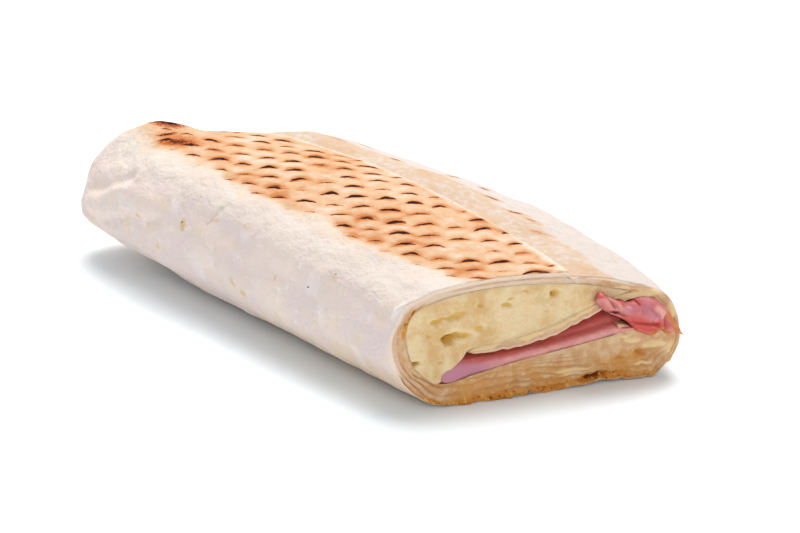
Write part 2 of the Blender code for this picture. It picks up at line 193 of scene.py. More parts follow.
def roll(y, z, x):
    """Carries places (y, z) of the cut plane to the sections at x. With low and high the
    section's ends by round_off, y becomes low + (high - low) * (share of the cut's width), plus
    the swell to the back, 1 - (share of the way to the cut)^3. z is raised by a smoothstep, a
    bump behind the seam and a sag at the near top corner, and drawn to the tip's height by
    round_off. Last, x leans by the slant times y."""
    y, z, x = np.broadcast_arrays(np.asarray(y, float), np.asarray(z, float), np.asarray(x, float))
    low = TIP_Y - (HALF_WIDTH + TIP_Y) * round_off(x, ROUND_NEAR)
    high = TIP_Y + (HALF_WIDTH - TIP_Y) * round_off(x, ROUND_BACK)
    across = low + (high - low) * (y + HALF_WIDTH) / (2.0 * HALF_WIDTH)
    from_cut = np.clip((x - FULL_X) / (CUT_X - FULL_X), 0.0, 1.0)
    swell = (1.0 - from_cut ** 3) * (1.0 - smoothstep(-x, *SWELL_END))
    across = across + SWELL_BACK * swell * smoothstep(y, *SWELL_ACROSS)
    taller = 1.0 + SWELL_UP / CUT_HEIGHT * smoothstep(-x, -CUT_X, -FULL_X)
    above = z * taller - TIP_Z
    share = np.where(above > 0.0, round_off(x, ROUND_TOP), round_off(x, ROUND_UNDER))
    hump = HUMP_UP * bump_at((x - HUMP_X) / HUMP_LENGTH)
    above = above + hump * smoothstep(y, *HUMP_ACROSS) * smoothstep(z, *HUMP_ABOVE)
    sag = CORNER_DROP * smoothstep(-x, *CORNER_ALONG)
    above = above - sag * smoothstep(-y, *CORNER_ACROSS) * smoothstep(z, *CORNER_ABOVE)
    slant = CUT_SLANT * smoothstep(x, SQUARE_X, CUT_X)
    return np.stack([x + slant * across, across, TIP_Z + above * share], axis=-1) + SHIFT


def carried(curve, x):
    """A curve of the cut plane, carried by roll() to the sections at x."""
    return roll(curve[..., 0], curve[..., 1], x)


def normals(points, closed):
    """Unit normals of a grid of points: the cross product of its two directions."""
    down = np.gradient(points, axis=0)
    if closed:
        along = np.roll(points, -1, axis=1) - np.roll(points, 1, axis=1)
    else:
        along = np.gradient(points, axis=1)
    normal = np.cross(along, down)
    length = np.linalg.norm(normal, axis=-1, keepdims=True)
    return normal / np.maximum(length, 1e-9)


def grid_corners(rows, columns, closed):
    """Corner numbers of a grid's four-sided faces, row by row."""
    row = np.arange(rows - 1)[:, None]
    column = np.arange(columns if closed else columns - 1)[None, :]
    after = (column + 1) % columns
    corners = [row * columns + column, row * columns + after,
               (row + 1) * columns + after, (row + 1) * columns + column]
    return np.stack(np.broadcast_arrays(*corners), axis=-1).reshape(-1, 4)


def surface(name, sheets, finish, node):
    """One closed piece from grids that share their edges.

    Each sheet is (points in mm, closed in columns, {attribute: value at each point}). Equal
    points are made one, so the sheets join, and faces that shrink to a line are left out.
    """
    names = sorted({key for sheet in sheets for key in sheet[2]})
    places = np.vstack([points.reshape(-1, 3) for points, _, _ in sheets])
    values = {}
    for key in names:
        parts = []
        for points, _, fields in sheets:
            value = fields.get(key, 0.0)
            parts.append(np.broadcast_to(value, points.shape[:2]).ravel())
        values[key] = np.concatenate(parts)
    faces = []
    start = 0
    for points, closed, _ in sheets:
        faces.append(grid_corners(points.shape[0], points.shape[1], closed) + start)
        start += points.shape[0] * points.shape[1]
    _, first, same = np.unique(np.round(places, 4), axis=0, return_index=True, return_inverse=True)
    corners = same.reshape(-1)[np.vstack(faces)]
    whole = (corners != np.roll(corners, 1, axis=1)).all(axis=1)
    split = [tuple(dict.fromkeys(face)) for face in corners[~whole].tolist()]
    polygons = corners[whole].tolist() + [face for face in split if len(face) == 3]
    mesh = bpy.data.meshes.new(name)
    mesh.from_pydata((places[first] * MM).tolist(), [], polygons)
    for key in names:
        attribute = mesh.attributes.new(key, 'FLOAT', 'POINT')
        attribute.data.foreach_set("value", values[key][first].astype(np.float32))
    bm = bmesh.new()
    bm.from_mesh(mesh)
    bmesh.ops.recalc_face_normals(bm, faces=bm.faces[:])
    bm.to_mesh(mesh)
    bm.free()
    mesh.shade_smooth()
    piece = bpy.data.objects.new(name, mesh)
    bpy.context.scene.collection.objects.link(piece)
    mesh.materials.append(finish)
    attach(piece, "root")
    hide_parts(node)
    return piece


# Materials


# How much light falls on each part in this scene, against the cut face
SIDE_LIGHT = 0.94
CUT_LIGHT = 1.0
TOP_LIGHT = 1.40
FAR_LIGHT = 1.62


def seen(red, green, blue, light=CUT_LIGHT):
    """A colour as it looks in this light, 0 to 255, as the share of light that it gives back."""
    screen = np.array([red, green, blue]) / 255.0
    shine = np.where(screen <= 0.04045, screen / 12.92, ((screen + 0.055) / 1.055) ** 2.4)
    return (*np.minimum(shine / light, 0.97).tolist(), 1.0)


def on_top(red, green, blue):
    """The same for a colour of the brightly lit top."""
    return seen(red, green, blue, TOP_LIGHT)


def on_side(red, green, blue):
    """The same for a colour of the shaded near side."""
    return seen(red, green, blue, SIDE_LIGHT)


class Finish:
    """A material's nodes, added and joined in few words."""

    def __init__(self, name, roughness, soft, soft_reach, specular):
        """A plain finish: soft is how much light goes in, up to soft_reach millimetres deep."""
        self.material = bpy.data.materials.new(name)
        self.material.use_nodes = True
        self.tree = self.material.node_tree
        self.shader = self.tree.nodes["Principled BSDF"]
        self.shader.inputs["Roughness"].default_value = roughness
        self.shader.inputs["Subsurface Weight"].default_value = soft
        self.shader.inputs["Subsurface Radius"].default_value = (1.0, 0.6, 0.4)
        self.shader.inputs["Subsurface Scale"].default_value = soft_reach * MM
        self.shader.inputs["Specular IOR Level"].default_value = specular
        self.place = self.node("ShaderNodeTexCoord").outputs["Object"]

    def node(self, kind, **settings):
        """A new node with its settings."""
        made = self.tree.nodes.new(kind)
        for key, value in settings.items():
            setattr(made, key, value)
        return made

    def feed(self, socket, value):
        """Joins an output to a socket, or sets the socket's own value."""
        if isinstance(value, bpy.types.NodeSocket):
            self.tree.links.new(value, socket)
        else:
            socket.default_value = value

    def field(self, name):
        """The value of one of the mesh's attributes."""
        return self.node("ShaderNodeAttribute", attribute_name=name).outputs["Fac"]

    def math(self, kind, first, second=0.0):
        """One sum, product or power of two values."""
        made = self.node("ShaderNodeMath", operation=kind)
        self.feed(made.inputs[0], first)
        self.feed(made.inputs[1], second)
        return made.outputs[0]

    def ramp(self, value, low, high, low_to=0.0, high_to=1.0):
        """A smooth change from low_to to high_to as the value goes from low to high."""
        made = self.node("ShaderNodeMapRange", interpolation_type='SMOOTHSTEP')
        self.feed(made.inputs["Value"], value)
        made.inputs["From Min"].default_value = low
        made.inputs["From Max"].default_value = high
        made.inputs["To Min"].default_value = low_to
        made.inputs["To Max"].default_value = high_to
        return made.outputs["Result"]

    def stretched(self, stretch, turn=(0.0, 0.0, 0.0)):
        """Object places, turned and stretched, in millimetres."""
        made = self.node("ShaderNodeMapping")
        self.feed(made.inputs["Vector"], self.place)
        made.inputs["Scale"].default_value = [value / MM for value in stretch]
        made.inputs["Rotation"].default_value = turn
        return made.outputs["Vector"]

    def grain(self, size, detail=3.0, stretch=(1.0, 1.0, 1.0), turn=(0.0, 0.0, 0.0)):
        """Noise whose lumps are about size millimetres across, from 0 to 1."""
        made = self.node("ShaderNodeTexNoise")
        self.feed(made.inputs["Vector"], self.stretched(stretch, turn))
        made.inputs["Scale"].default_value = 1.0 / size
        made.inputs["Detail"].default_value = detail
        return made.outputs["Fac"]

    def ragged(self, value, size, amount):
        """The value with noise of the given size added: value + amount * (noise - 0.5)."""
        rough = self.math('SUBTRACT', self.grain(size, 4.0), 0.5)
        return self.math('ADD', value, self.math('MULTIPLY', rough, amount))

    def ragged_where(self, value, size, amount, level):
        """The ragged value, fading out where the value itself falls from the level to 0."""
        return self.math('MULTIPLY', self.ragged(value, size, amount), self.ramp(value, 0.0, level))

    def specks(self, spacing, radius, share):
        """Small round specks, 1 at their middle and 0 past their radius, one in each cell of
        the spacing, kept where coarse noise is over the given level."""
        made = self.node("ShaderNodeTexVoronoi")
        self.feed(made.inputs["Vector"], self.stretched((1.0, 1.0, 1.0)))
        made.inputs["Scale"].default_value = 1.0 / spacing
        dot = self.ramp(made.outputs["Distance"], radius / spacing, 0.3 * radius / spacing)
        return self.math('MULTIPLY', dot, self.ramp(self.grain(7.0, 2.0), share, share + 0.08))

    def mix(self, amount, first, second):
        """A blend of two colours."""
        made = self.node("ShaderNodeMix", data_type='RGBA')
        self.feed(made.inputs[0], amount)
        self.feed(made.inputs[6], first)
        self.feed(made.inputs[7], second)
        return made.outputs[2]

    def paint(self, under, tone, value, low, high, most=1.0):
        """The colour under, turned to the tone as the value goes from low to high."""
        return self.mix(self.ramp(value, low, high, 0.0, most), under, tone)

    def relief(self, heights, depth):
        """Fine relief: the heights, from 0 to 1, stand up to depth millimetres."""
        made = self.node("ShaderNodeBump")
        made.inputs["Distance"].default_value = depth * MM
        made.inputs["Strength"].default_value = 1.0
        self.feed(made.inputs["Height"], heights)
        self.feed(self.shader.inputs["Normal"], made.outputs["Normal"])

    def done(self, colour, roughness=None):
        """Joins the colour, and the roughness where it varies."""
        self.feed(self.shader.inputs["Base Color"], colour)
        if roughness is not None:
            self.feed(self.shader.inputs["Roughness"], roughness)
        return self.material


def floury_side(f, broad, fine):
    """The near side: floury white with soft mottles, and tan towards the floor."""
    side = f.mix(broad, on_side(221, 203, 199), on_side(229, 211, 200))
    side = f.paint(side, on_side(226, 204, 180), f.grain(5.0, 5.0), 0.48, 0.75, 0.7)
    white = f.grain(2.6, 5.0, turn=(0.0, 0.7, 0.0))
    side = f.paint(side, on_side(240, 228, 222), white, 0.6, 0.75, 0.6)
    side = f.paint(side, on_side(198, 178, 170), fine, 0.5, 0.85, 0.3)
    side = f.paint(side, on_side(221, 196, 172), f.ragged(f.field("tan"), 5.0, 0.6), 0.2, 1.0)
    return f.paint(side, on_side(240, 230, 226), f.field("flour"), 0.1, 0.8)


def toasted_skin(f):
    """The skin: white side, creamy top, the orange and brown of the grill, the paler layer
    beyond the seam, freckles, dots and charred dashes."""
    fine = f.grain(1.3, 5.0)
    broad = f.ramp(f.grain(16.0, 4.0), 0.35, 0.7)
    above = f.mix(broad, on_top(243, 227, 216), on_top(250, 236, 225))
    above = f.paint(above, on_top(234, 208, 186), fine, 0.5, 0.8, 0.4)
    skin = f.mix(f.field("above"), floury_side(f, broad, fine), above)
    toast = f.ragged_where(f.field("toast"), 2.0, 0.5, 0.15)
    skin = f.paint(skin, on_top(246, 224, 204), toast, 0.0, 0.2)
    skin = f.paint(skin, on_top(236, 190, 149), toast, 0.15, 0.55)
    skin = f.paint(skin, on_top(220, 144, 90), toast, 0.5, 0.9)
    skin = f.paint(skin, on_top(128, 66, 40), toast, 0.95, 1.3)
    far = f.paint(seen(246, 232, 223, FAR_LIGHT), seen(238, 220, 208, FAR_LIGHT), fine, 0.45, 0.8)
    far = f.paint(far, seen(241, 208, 178, FAR_LIGHT), toast, 0.02, 0.2)
    far = f.paint(far, seen(226, 166, 122, FAR_LIGHT), toast, 0.2, 0.6)
    skin = f.mix(f.field("far"), skin, far)
    freckle = f.ragged(f.field("freckle"), 1.3, 0.9)
    skin = f.paint(skin, on_side(214, 182, 138), freckle, 0.3, 0.9)
    specks = f.math('MULTIPLY', f.specks(6.0, 0.36, 0.5), 0.9)
    skin = f.mix(specks, skin, on_side(120, 96, 84))
    skin = f.paint(skin, on_side(84, 58, 42), f.field("dot"), 0.4, 0.8)
    char = f.ragged_where(f.math('MAXIMUM', f.field("char"), dash_char(f)), 0.8, 1.0, 0.25)
    skin = f.paint(skin, on_top(190, 98, 52), char, 0.02, 0.4)
    return f.paint(skin, on_top(54, 22, 14), char, 0.3, 0.7)


def layered_dough(f):
    """The cut dough: beige, pinkish in its outer turn, darker between its layers, with a brown
    flecked crust below, soft pale lumps, a floury rim, and a painted highlight that makes the lip
    of the sheet's inner end paler."""
    dough = f.paint(seen(218, 182, 144), seen(204, 160, 118), f.grain(3.0, 4.0), 0.35, 0.65)
    dough = f.paint(dough, seen(216, 180, 158), f.field("pink"), 0.1, 0.9)
    dough = f.paint(dough, seen(178, 126, 80), f.field("layer"), 0.1, 1.0, 0.7)
    brown = f.ragged(f.field("crust"), 1.5, 0.8)
    dough = f.paint(dough, seen(208, 150, 86), brown, 0.1, 0.6)
    dough = f.paint(dough, seen(208, 136, 60), brown, 0.6, 1.0)
    dough = f.paint(dough, seen(124, 64, 22), brown, 1.1, 1.4)
    crusty = f.ramp(f.field("crust"), 0.4, 0.9)
    dark = f.math('MULTIPLY', crusty, f.ramp(f.grain(1.1, 4.0), 0.56, 0.68))
    dough = f.mix(dark, dough, seen(142, 78, 28))
    light = f.math('MULTIPLY', crusty, f.ramp(f.grain(1.5, 3.0, turn=(0.5, 0.0, 1.0)), 0.55, 0.68))
    dough = f.mix(light, dough, seen(226, 176, 104))
    dough = f.paint(dough, seen(226, 194, 146), f.ragged(f.field("lump"), 1.6, 0.5), 0.2, 0.7)
    # Flour, and on the lip of the sheet's inner end a painted highlight
    return f.paint(dough, seen(234, 212, 192), f.field("flour"), 0.1, 0.9)


def flatbread_finish():
    """Floury pale dough, toasted to cream and orange round charred dashes, layered at the cut,
    with relief of fine grain and coarser lumps of 4 mm."""
    f = Finish("toasted_flatbread", roughness=0.85, soft=0.15, soft_reach=2.0, specular=0.06)
    heights = f.math('ADD', f.grain(0.9, 4.0), f.math('MULTIPLY', f.grain(4.0, 4.0), 3.0))
    f.relief(heights, 0.28)
    return f.done(f.mix(f.field("crumb"), toasted_skin(f), layered_dough(f)))


def dash_char(f):
    """How charred the nearest dash is at each place, from the attributes mark_row and
    mark_column, the place counted in rows and columns of the pattern. With a along and c
    across the dash: strength * (1.5 - sqrt((a / half length)^2 + (c / half width)^2))."""
    apart = []
    for name in ("mark_row", "mark_column"):
        place = f.field(name)
        apart.append(f.math('SUBTRACT', place, f.math('ROUND', place)))
    along, aside = turned(np.stack([MARK_ROW, MARK_COLUMN]), MARK_ANGLE).tolist()
    a = f.math('ADD', *[f.math('MULTIPLY', part, step) for part, step in zip(apart, along)])
    c = f.math('ADD', *[f.math('MULTIPLY', part, step) for part, step in zip(apart, aside)])
    a = f.ragged(a, 4.0, 3.0)
    arch = f.math('MULTIPLY', f.math('MULTIPLY', a, a), MARK_ARCH)
    c = f.math('ADD', f.ragged(c, 2.6, 1.5), arch)
    strength = f.field("mark")
    wide = f.math('MULTIPLY', f.math('ADD', f.math('MULTIPLY', strength, 0.6), 0.5), MARK_HALF_WIDTH)
    a = f.math('POWER', f.math('MULTIPLY', a, 1.0 / MARK_HALF_LENGTH), 2.0)
    c = f.math('POWER', f.math('DIVIDE', c, wide), 2.0)
    away = f.math('SQRT', f.math('ADD', a, c))
    return f.math('MULTIPLY', strength, f.math('SUBTRACT', 1.5, away))


def cheese_finish():
    """Pale melted cheese, ochre in and round its holes."""
    f = Finish("melted_cheese", roughness=0.45, soft=0.25, soft_reach=3.0, specular=0.35)
    colour = f.paint(seen(230, 200, 155), seen(214, 171, 112), f.grain(9.0, 4.0), 0.38, 0.62)
    colour = f.paint(colour, seen(232, 214, 172), f.grain(2.5, 4.0), 0.4, 0.7, 0.5)
    colour = f.paint(colour, seen(218, 182, 144), f.field("edge"), 0.3, 1.0, 0.8)
    hole = f.ragged(f.field("hole"), 1.4, 0.5)
    colour = f.paint(colour, seen(212, 168, 78), hole, 0.2, 0.55)
    colour = f.paint(colour, seen(190, 140, 18), hole, 0.6, 0.95)
    f.relief(f.math('ADD', f.grain(2.4, 4.0), f.grain(0.9, 3.0)), 0.4)
    return f.done(colour)


def ham_finish(name):
    """Cooked ham: pale pink where it is cut, redder on its face, mauve where it is thin, pale in
    patches and with painted highlights on its ridges, dark with painted shade in its creases and
    recesses, orange-brown at its torn edge, and moister in some spots than in others."""
    f = Finish(name, roughness=0.38, soft=0.15, soft_reach=2.0, specular=0.4)
    streaks = f.grain(2.2, 4.0, stretch=(0.6, 1.0, 0.9))
    colour = f.paint(seen(208, 134, 130), seen(220, 150, 142), streaks, 0.3, 0.7)
    colour = f.paint(colour, seen(192, 124, 142), f.field("mauve"), 0.1, 0.9)
    red = f.ragged(f.field("face"), 2.6, 0.35)
    colour = f.paint(colour, seen(200, 98, 92), red, 0.1, 0.6)
    colour = f.paint(colour, seen(206, 84, 76), red, 0.6, 1.0)
    # Pale patches, and painted highlights on the fold's ridges
    colour = f.paint(colour, seen(230, 168, 146), f.field("pale"), 0.2, 0.9)
    colour = f.paint(colour, seen(200, 118, 60), f.ragged(f.field("seared"), 1.4, 0.6), 0.3, 0.75)
    # Painted shade: dark crimson in the creases and recesses of the ham
    colour = f.paint(colour, seen(112, 34, 34), f.ragged(f.field("crease"), 1.2, 0.4), 0.3, 0.95)
    f.relief(f.math('ADD', f.grain(1.1, 4.0), streaks), 0.22)
    return f.done(colour, f.ramp(f.grain(1.5, 3.0), 0.3, 0.7, 0.3, 0.5))


# Grill marks, measured on the flat top: a staggered pattern of short dashes
MARK_START = np.array([56.39, -16.48])
MARK_ROW = np.array([6.20, 4.63])
MARK_COLUMN = np.array([4.83, -2.36])
MARK_BEND = np.array([0.22, -0.21])
BEND_ROUNDS = 6
MARKS_EACH_WAY = 64
MARK_ANGLE = math.radians(49.0)
MARK_HALF_LENGTH = 2.1
MARK_HALF_WIDTH = 0.42
MARK_ARCH = 0.11
HALO_HALF_LENGTH = 3.3
HALO_ABOVE = 1.5
HALO_BELOW = 0.9
# Where the dashes end on the near side, and where the warm tone ends: (x, y)
GRILL_LIMIT = [
    (-83.0, -14.0), (-70.0, -20.0), (-59.0, -22.5), (-45.0, -22.5), (-26.0, -24.5),
    (-4.0, -24.5), (26.0, -23.5), (46.0, -20.5), (62.0, -19.0), (73.0, -15.0),
]
WARM_LIMIT = [
    (-83.0, -22.0), (-73.0, -27.5), (-48.0, -29.5), (-19.0, -30.0), (11.0, -31.0),
    (26.0, -30.5), (38.0, -29.0), (60.0, -25.0), (75.0, -20.0),
]
# Single marks: on the layer beyond the seam, and smudges at the closed end
# (x, y, half length, half width, angle in degrees, char, toast)
SINGLE_MARKS = [
    (-35.5, 23.5, 2.2, 0.7, 40.0, 0.4, 0.6), (-32.8, 30.9, 1.6, 0.7, 20.0, 0.3, 0.6),
    (-16.5, 28.7, 1.8, 0.7, 60.0, 0.5, 0.6), (0.4, 35.8, 2.0, 0.7, 45.0, 0.3, 0.6),
    (11.4, 28.7, 2.2, 0.7, 45.0, 0.3, 0.6), (12.9, 36.3, 1.6, 0.8, 40.0, 0.4, 0.6),
    (23.1, 30.1, 1.8, 0.7, 50.0, 0.5, 0.7), (35.4, 27.7, 2.0, 0.7, 45.0, 0.6, 0.7),
    (41.6, 27.5, 1.6, 0.6, 40.0, 0.4, 0.6), (49.4, 22.8, 2.0, 0.7, 50.0, 0.2, 0.6),
    (-57.0, -18.4, 5.5, 2.2, 25.0, 0.45, 0.75), (-52.0, -17.5, 3.0, 0.8, 30.0, 0.7, 0.5),
    (-64.0, -16.9, 2.6, 0.8, 50.0, 0.6, 0.4), (-72.0, -12.0, 7.0, 3.2, 8.0, 0.55, 0.9),
    (-70.0, -11.8, 4.0, 1.1, 5.0, 0.8, 0.6), (-67.0, -18.6, 3.5, 1.2, 40.0, 0.1, 0.5),
]
# Tan freckles and dark dots on the near side: (x, z, half length, half height, strength)
FRECKLES = [
    (-50.1, 22.0, 1.9, 1.3, 0.8), (-28.8, 25.7, 1.4, 2.2, 1.1), (-40.8, 15.7, 1.5, 1.3, 0.9),
    (-16.4, 30.0, 2.4, 1.0, 0.7), (-17.5, 23.1, 1.2, 1.3, 0.7), (-4.0, 31.8, 3.0, 0.9, 0.6),
    (-5.9, 15.9, 1.4, 2.6, 0.8), (-2.5, 13.3, 1.5, 1.6, 1.0), (13.1, 22.5, 1.1, 1.6, 0.8),
    (-47.5, 9.8, 3.6, 0.9, 0.7), (-60.8, 28.5, 1.6, 1.4, 0.6), (34.0, 29.0, 2.4, 1.2, 0.7),
    (-44.0, 12.5, 1.4, 1.0, 0.6), (38.0, 27.5, 2.6, 1.4, 0.5), (-73.6, 31.0, 2.0, 1.6, 0.6),
    (3.0, 10.5, 1.2, 1.6, 0.5), (-66.0, 30.5, 1.6, 1.2, 0.6),
]
DOTS = [
    (-29.4, 26.1, 0.45, 0.5, 1.0), (-21.6, 20.7, 0.3, 0.3, 1.0), (-1.2, 19.5, 0.3, 0.35, 1.0),
    (26.4, 24.5, 0.45, 0.45, 1.2), (9.4, 30.4, 0.35, 0.3, 1.0), (16.4, 31.6, 0.3, 0.3, 1.0),
    (34.0, 29.7, 0.35, 0.3, 1.0), (-11.9, 26.8, 0.3, 0.3, 0.9), (47.0, 20.0, 0.3, 0.3, 0.9),
]


def turned(steps, angle):
    """Steps (x, y) measured along a direction and aside of it: x cos + y sin, y cos - x sin."""
    x, y = steps[..., 0], steps[..., 1]
    return np.stack([x * math.cos(angle) + y * math.sin(angle),
                     y * math.cos(angle) - x * math.sin(angle)])


def pattern_place(places):
    """Places counted in rows and columns of the pattern of dashes. The pattern is start +
    i rows + j columns + bend * (-i^2 + 0.7 i j - 0.73 j^2), undone by a few rounds of setting
    the bend right, and shifted a little by smooth noise."""
    steps = np.linalg.inv(np.stack([MARK_ROW, MARK_COLUMN]))
    flat = places[..., :2] - MARK_START
    flat = flat + 0.8 * np.stack([noise(places, 9.0, 61), noise(places, 9.0, 62)], axis=-1)
    count = flat @ steps
    for _ in range(BEND_ROUNDS):
        i, j = count[..., 0], count[..., 1]
        bend = -1.0 * i ** 2 + 0.7 * i * j - 0.73 * j ** 2
        count = (flat - MARK_BEND * bend[..., None]) @ steps
    return count


def grilled(places, patch, single):
    """How charred and how toasted the top is at each place: a soft wide oval round each dash
    of the pattern, and the single marks, which are charred as well. Also the attributes from
    which dash_char draws the dashes: rows, columns and the nearest dash's random strength."""
    count = pattern_place(places)
    nearest = np.round(count).astype(int)
    strong = np.random.default_rng(7).normal(0.85, 0.34, (MARKS_EACH_WAY, MARKS_EACH_WAY))
    strong = strong.clip(0.1, 1.3)
    toast = np.zeros(places.shape[:-1])
    for row, column in itertools.product((-1, 0, 1), repeat=2):
        dash = nearest + [row, column]
        a, c = turned((count - dash) @ np.stack([MARK_ROW, MARK_COLUMN]), MARK_ANGLE)
        c = c + 0.8 * MARK_ARCH * a ** 2 + 0.9 * noise(places, 4.5, 63)
        c = c / np.where(c > 0.0, HALO_ABOVE, HALO_BELOW)
        dash = dash % MARKS_EACH_WAY
        warm = strong[dash[..., 0], dash[..., 1]] ** 0.5
        toast = np.maximum(toast, warm * bump_at(np.hypot(a / HALO_HALF_LENGTH, c)))
    toast = toast * patch
    nearest = nearest % MARKS_EACH_WAY
    pattern = {"mark_row": count[..., 0], "mark_column": count[..., 1],
               "mark": strong[nearest[..., 0], nearest[..., 1]] * patch}
    char = np.zeros(toast.shape)
    for x, y, long, wide, turn, dark, warm in SINGLE_MARKS:
        a, c = turned(places[..., :2] - [x, y], math.radians(turn))
        a, c = a / long, c / wide
        char = np.maximum(char, single * dark * (1.5 - np.hypot(a, c)))
        toast = np.maximum(toast, single * warm * bump_at(np.hypot(a / 1.5, c / 2.2)))
    return np.clip(char, 0.0, 1.3), toast, pattern


# How far apart the skin's points lie round the roll, and its sections along it
SKIN_STEP = 0.55
STATION_STEP = 1.1
# The seam is drawn nearer behind the cut, and the flap's free edge is left untoasted as a painted
# highlight of its lit rim
SEAM_Y = 9.0
SEAM_REACH = 9.0
SEAM_PULL = 1.2
FLAP_EDGE = 7.9
PALE_LIT_RIM = (1.4, 3.2)
SKIN_INSET = 0.3
# Where a normal's upward part makes the skin count as flat
FLAT_UP = (0.45, 0.8)
EDGE_ROUND = 0.7
# How toasted the ovals round the dashes, the stains and the crisp flakes are
OVAL_TOAST = 0.62
STAIN_TOAST = 0.28
CRISP_TOAST = 0.7
# The dry flake that stands up at the near corner of the cut: y, half width, how far behind it
FLAKE = (-34.5, 2.6, 1.6)
# The notch in the crust under the cut: y, half width, height
NOTCH = (16.4, 2.6, 0.9)


def outline_ring():
    """The roll's closed outline, from the flap's lip right round to the foot of the seam, with
    the place of the hollow across from each of its points, and the outer turn's thickness."""
    lip, _ = spline(LIP, 0.25)
    curve, place = spline(OUTLINE, SKIN_STEP)
    curve[:, 1] = np.maximum(curve[:, 1], 0.0)
    ring = np.vstack([lip, curve[2:]])
    place = np.concatenate([np.zeros(len(lip)), place[2:]])
    spokes = np.array(SPOKES, dtype=float)
    across = np.interp(place, spokes[:, 0], spokes[:, 1])
    across[:len(lip)] = np.linspace(1.85, across[len(lip)], len(lip) + 1)[:-1]
    thick = np.interp(place, np.arange(len(THICKNESS)), THICKNESS)
    return ring, across, thick


def hollow_ring(across):
    """The hollow's outline at the given places, which are counted in its points."""
    curve, place = spline(ROOF + FLOOR + FOLD_POCKET + ROOF[:3], 0.2)
    return np.column_stack([np.interp(across, place, curve[:, 0]),
                            np.interp(across, place, curve[:, 1])])


def skin_stations():
    """Sections from the cut to the tip: close at the cut's edge, even along the roll, and by
    the sine of an even angle where the end rounds off."""
    edge = CUT_X - np.array([0.0, 0.12, 0.3, 0.55, 0.9, 1.4, 2.0, 2.7, 3.5])
    start = ROUND_NEAR[0]
    count = int((edge[-1] - start) / STATION_STEP)
    straight = np.linspace(edge[-1], start, count)[1:]
    angle = np.linspace(0.0, math.pi / 2, 36)[1:]
    return np.concatenate([edge, straight, start + (TIP_X - start) * np.sin(angle)])


# Long soft creases of the near side: (x and z of both ends, half width, height)
SIDE_CREASES = [
    (-78.0, 22.0, -58.0, 30.0, 1.6, -0.7), (-74.0, 14.0, -40.0, 24.0, 2.2, -0.5),
    (-19.6, 28.2, -16.0, 33.6, 0.35, -0.5), (-84.0, 20.0, -70.0, 9.0, 2.0, -0.6),
    (-30.0, 30.0, 0.0, 26.0, 3.0, -0.35), (10.0, 28.0, 34.0, 24.0, 2.4, -0.3),
    (-62.0, 8.0, -34.0, 5.0, 2.2, -0.4), (30.0, 12.0, 60.0, 9.0, 2.6, -0.3),
    (-66.0, 26.0, -44.0, 28.0, 2.0, 0.4), (44.0, 27.0, 66.0, 24.0, 2.0, -0.3),
]
# Dents and swells of the top: (x and y of both ends, half width, height)
TOP_DENTS = [
    (-61.0, -4.0, -48.0, 4.0, 4.5, -1.0), (-76.0, -14.0, -67.0, -10.0, 3.2, 0.9),
    (-44.0, 18.0, 20.0, 24.0, 6.0, 0.5),
]


def skin_relief(points, raw, patch, toast, flake):
    """Height of the skin's relief in mm: soft swells and wrinkles of 22, 9, 4 and 2 mm, the
    creases of the side and the dents of the top, all flatter where the grill has pressed, with
    the flake standing up at the cut's near corner."""
    height = 0.45 * noise(points, 22.0, 1) + 0.42 * noise(points * [0.7, 1.0, 1.0], 9.0, 2)
    height = height + 0.22 * noise(points, 4.0, 3) + 0.08 * noise(points, 1.9, 4)
    side = smoothstep(-raw[..., 1], 24.0, 32.0)
    bent = raw + 1.5 * noise(points, 12.0, 5)[..., None]
    height = height + 1.5 * side * strokes(bent[..., 0], bent[..., 2], SIDE_CREASES)
    top = smoothstep(raw[..., 2], 26.0, 32.0)
    height = height + top * strokes(raw[..., 0], raw[..., 1], TOP_DENTS)
    height = height * (0.45 + 0.55 * (1.0 - patch)) - 0.08 * patch * smoothstep(toast, 0.3, 0.9)
    return height + (1.2 + 0.6 * noise(points, 1.6, 42)) * flake


def above_line(points, raw, line, roughness, size, seed):
    """How far each place lies in y beyond a line given as (x, y) places, roughened by noise."""
    away = raw[..., 1] - np.interp(raw[..., 0], *np.array(line).T)
    return away + roughness * noise(points, size, seed)


def warm_tone(points, raw, y, up, flap):
    """The faint toasted tone round the grilled patch: on the flap down to WARM_LIMIT, and on
    the lower layer to about 20 mm beyond the seam."""
    tone = above_line(points, raw, WARM_LIMIT, 2.5, 9.0, 14)
    tint = smoothstep(up, 0.2, 0.6) * flap * smoothstep(tone, -2.0, 8.0)
    tint = tint * (0.19 + 0.10 * noise(points, 5.0, 45))
    beyond = (1.0 - flap) * smoothstep(up, 0.3, 0.7)
    beyond = beyond * (1.0 - smoothstep(y + 2.0 * noise(points, 9.0, 20), 17.0, 22.0))
    return tint + beyond * (0.14 + 0.14 * smoothstep(noise(points, 9.0, 12), -0.2, 0.6))


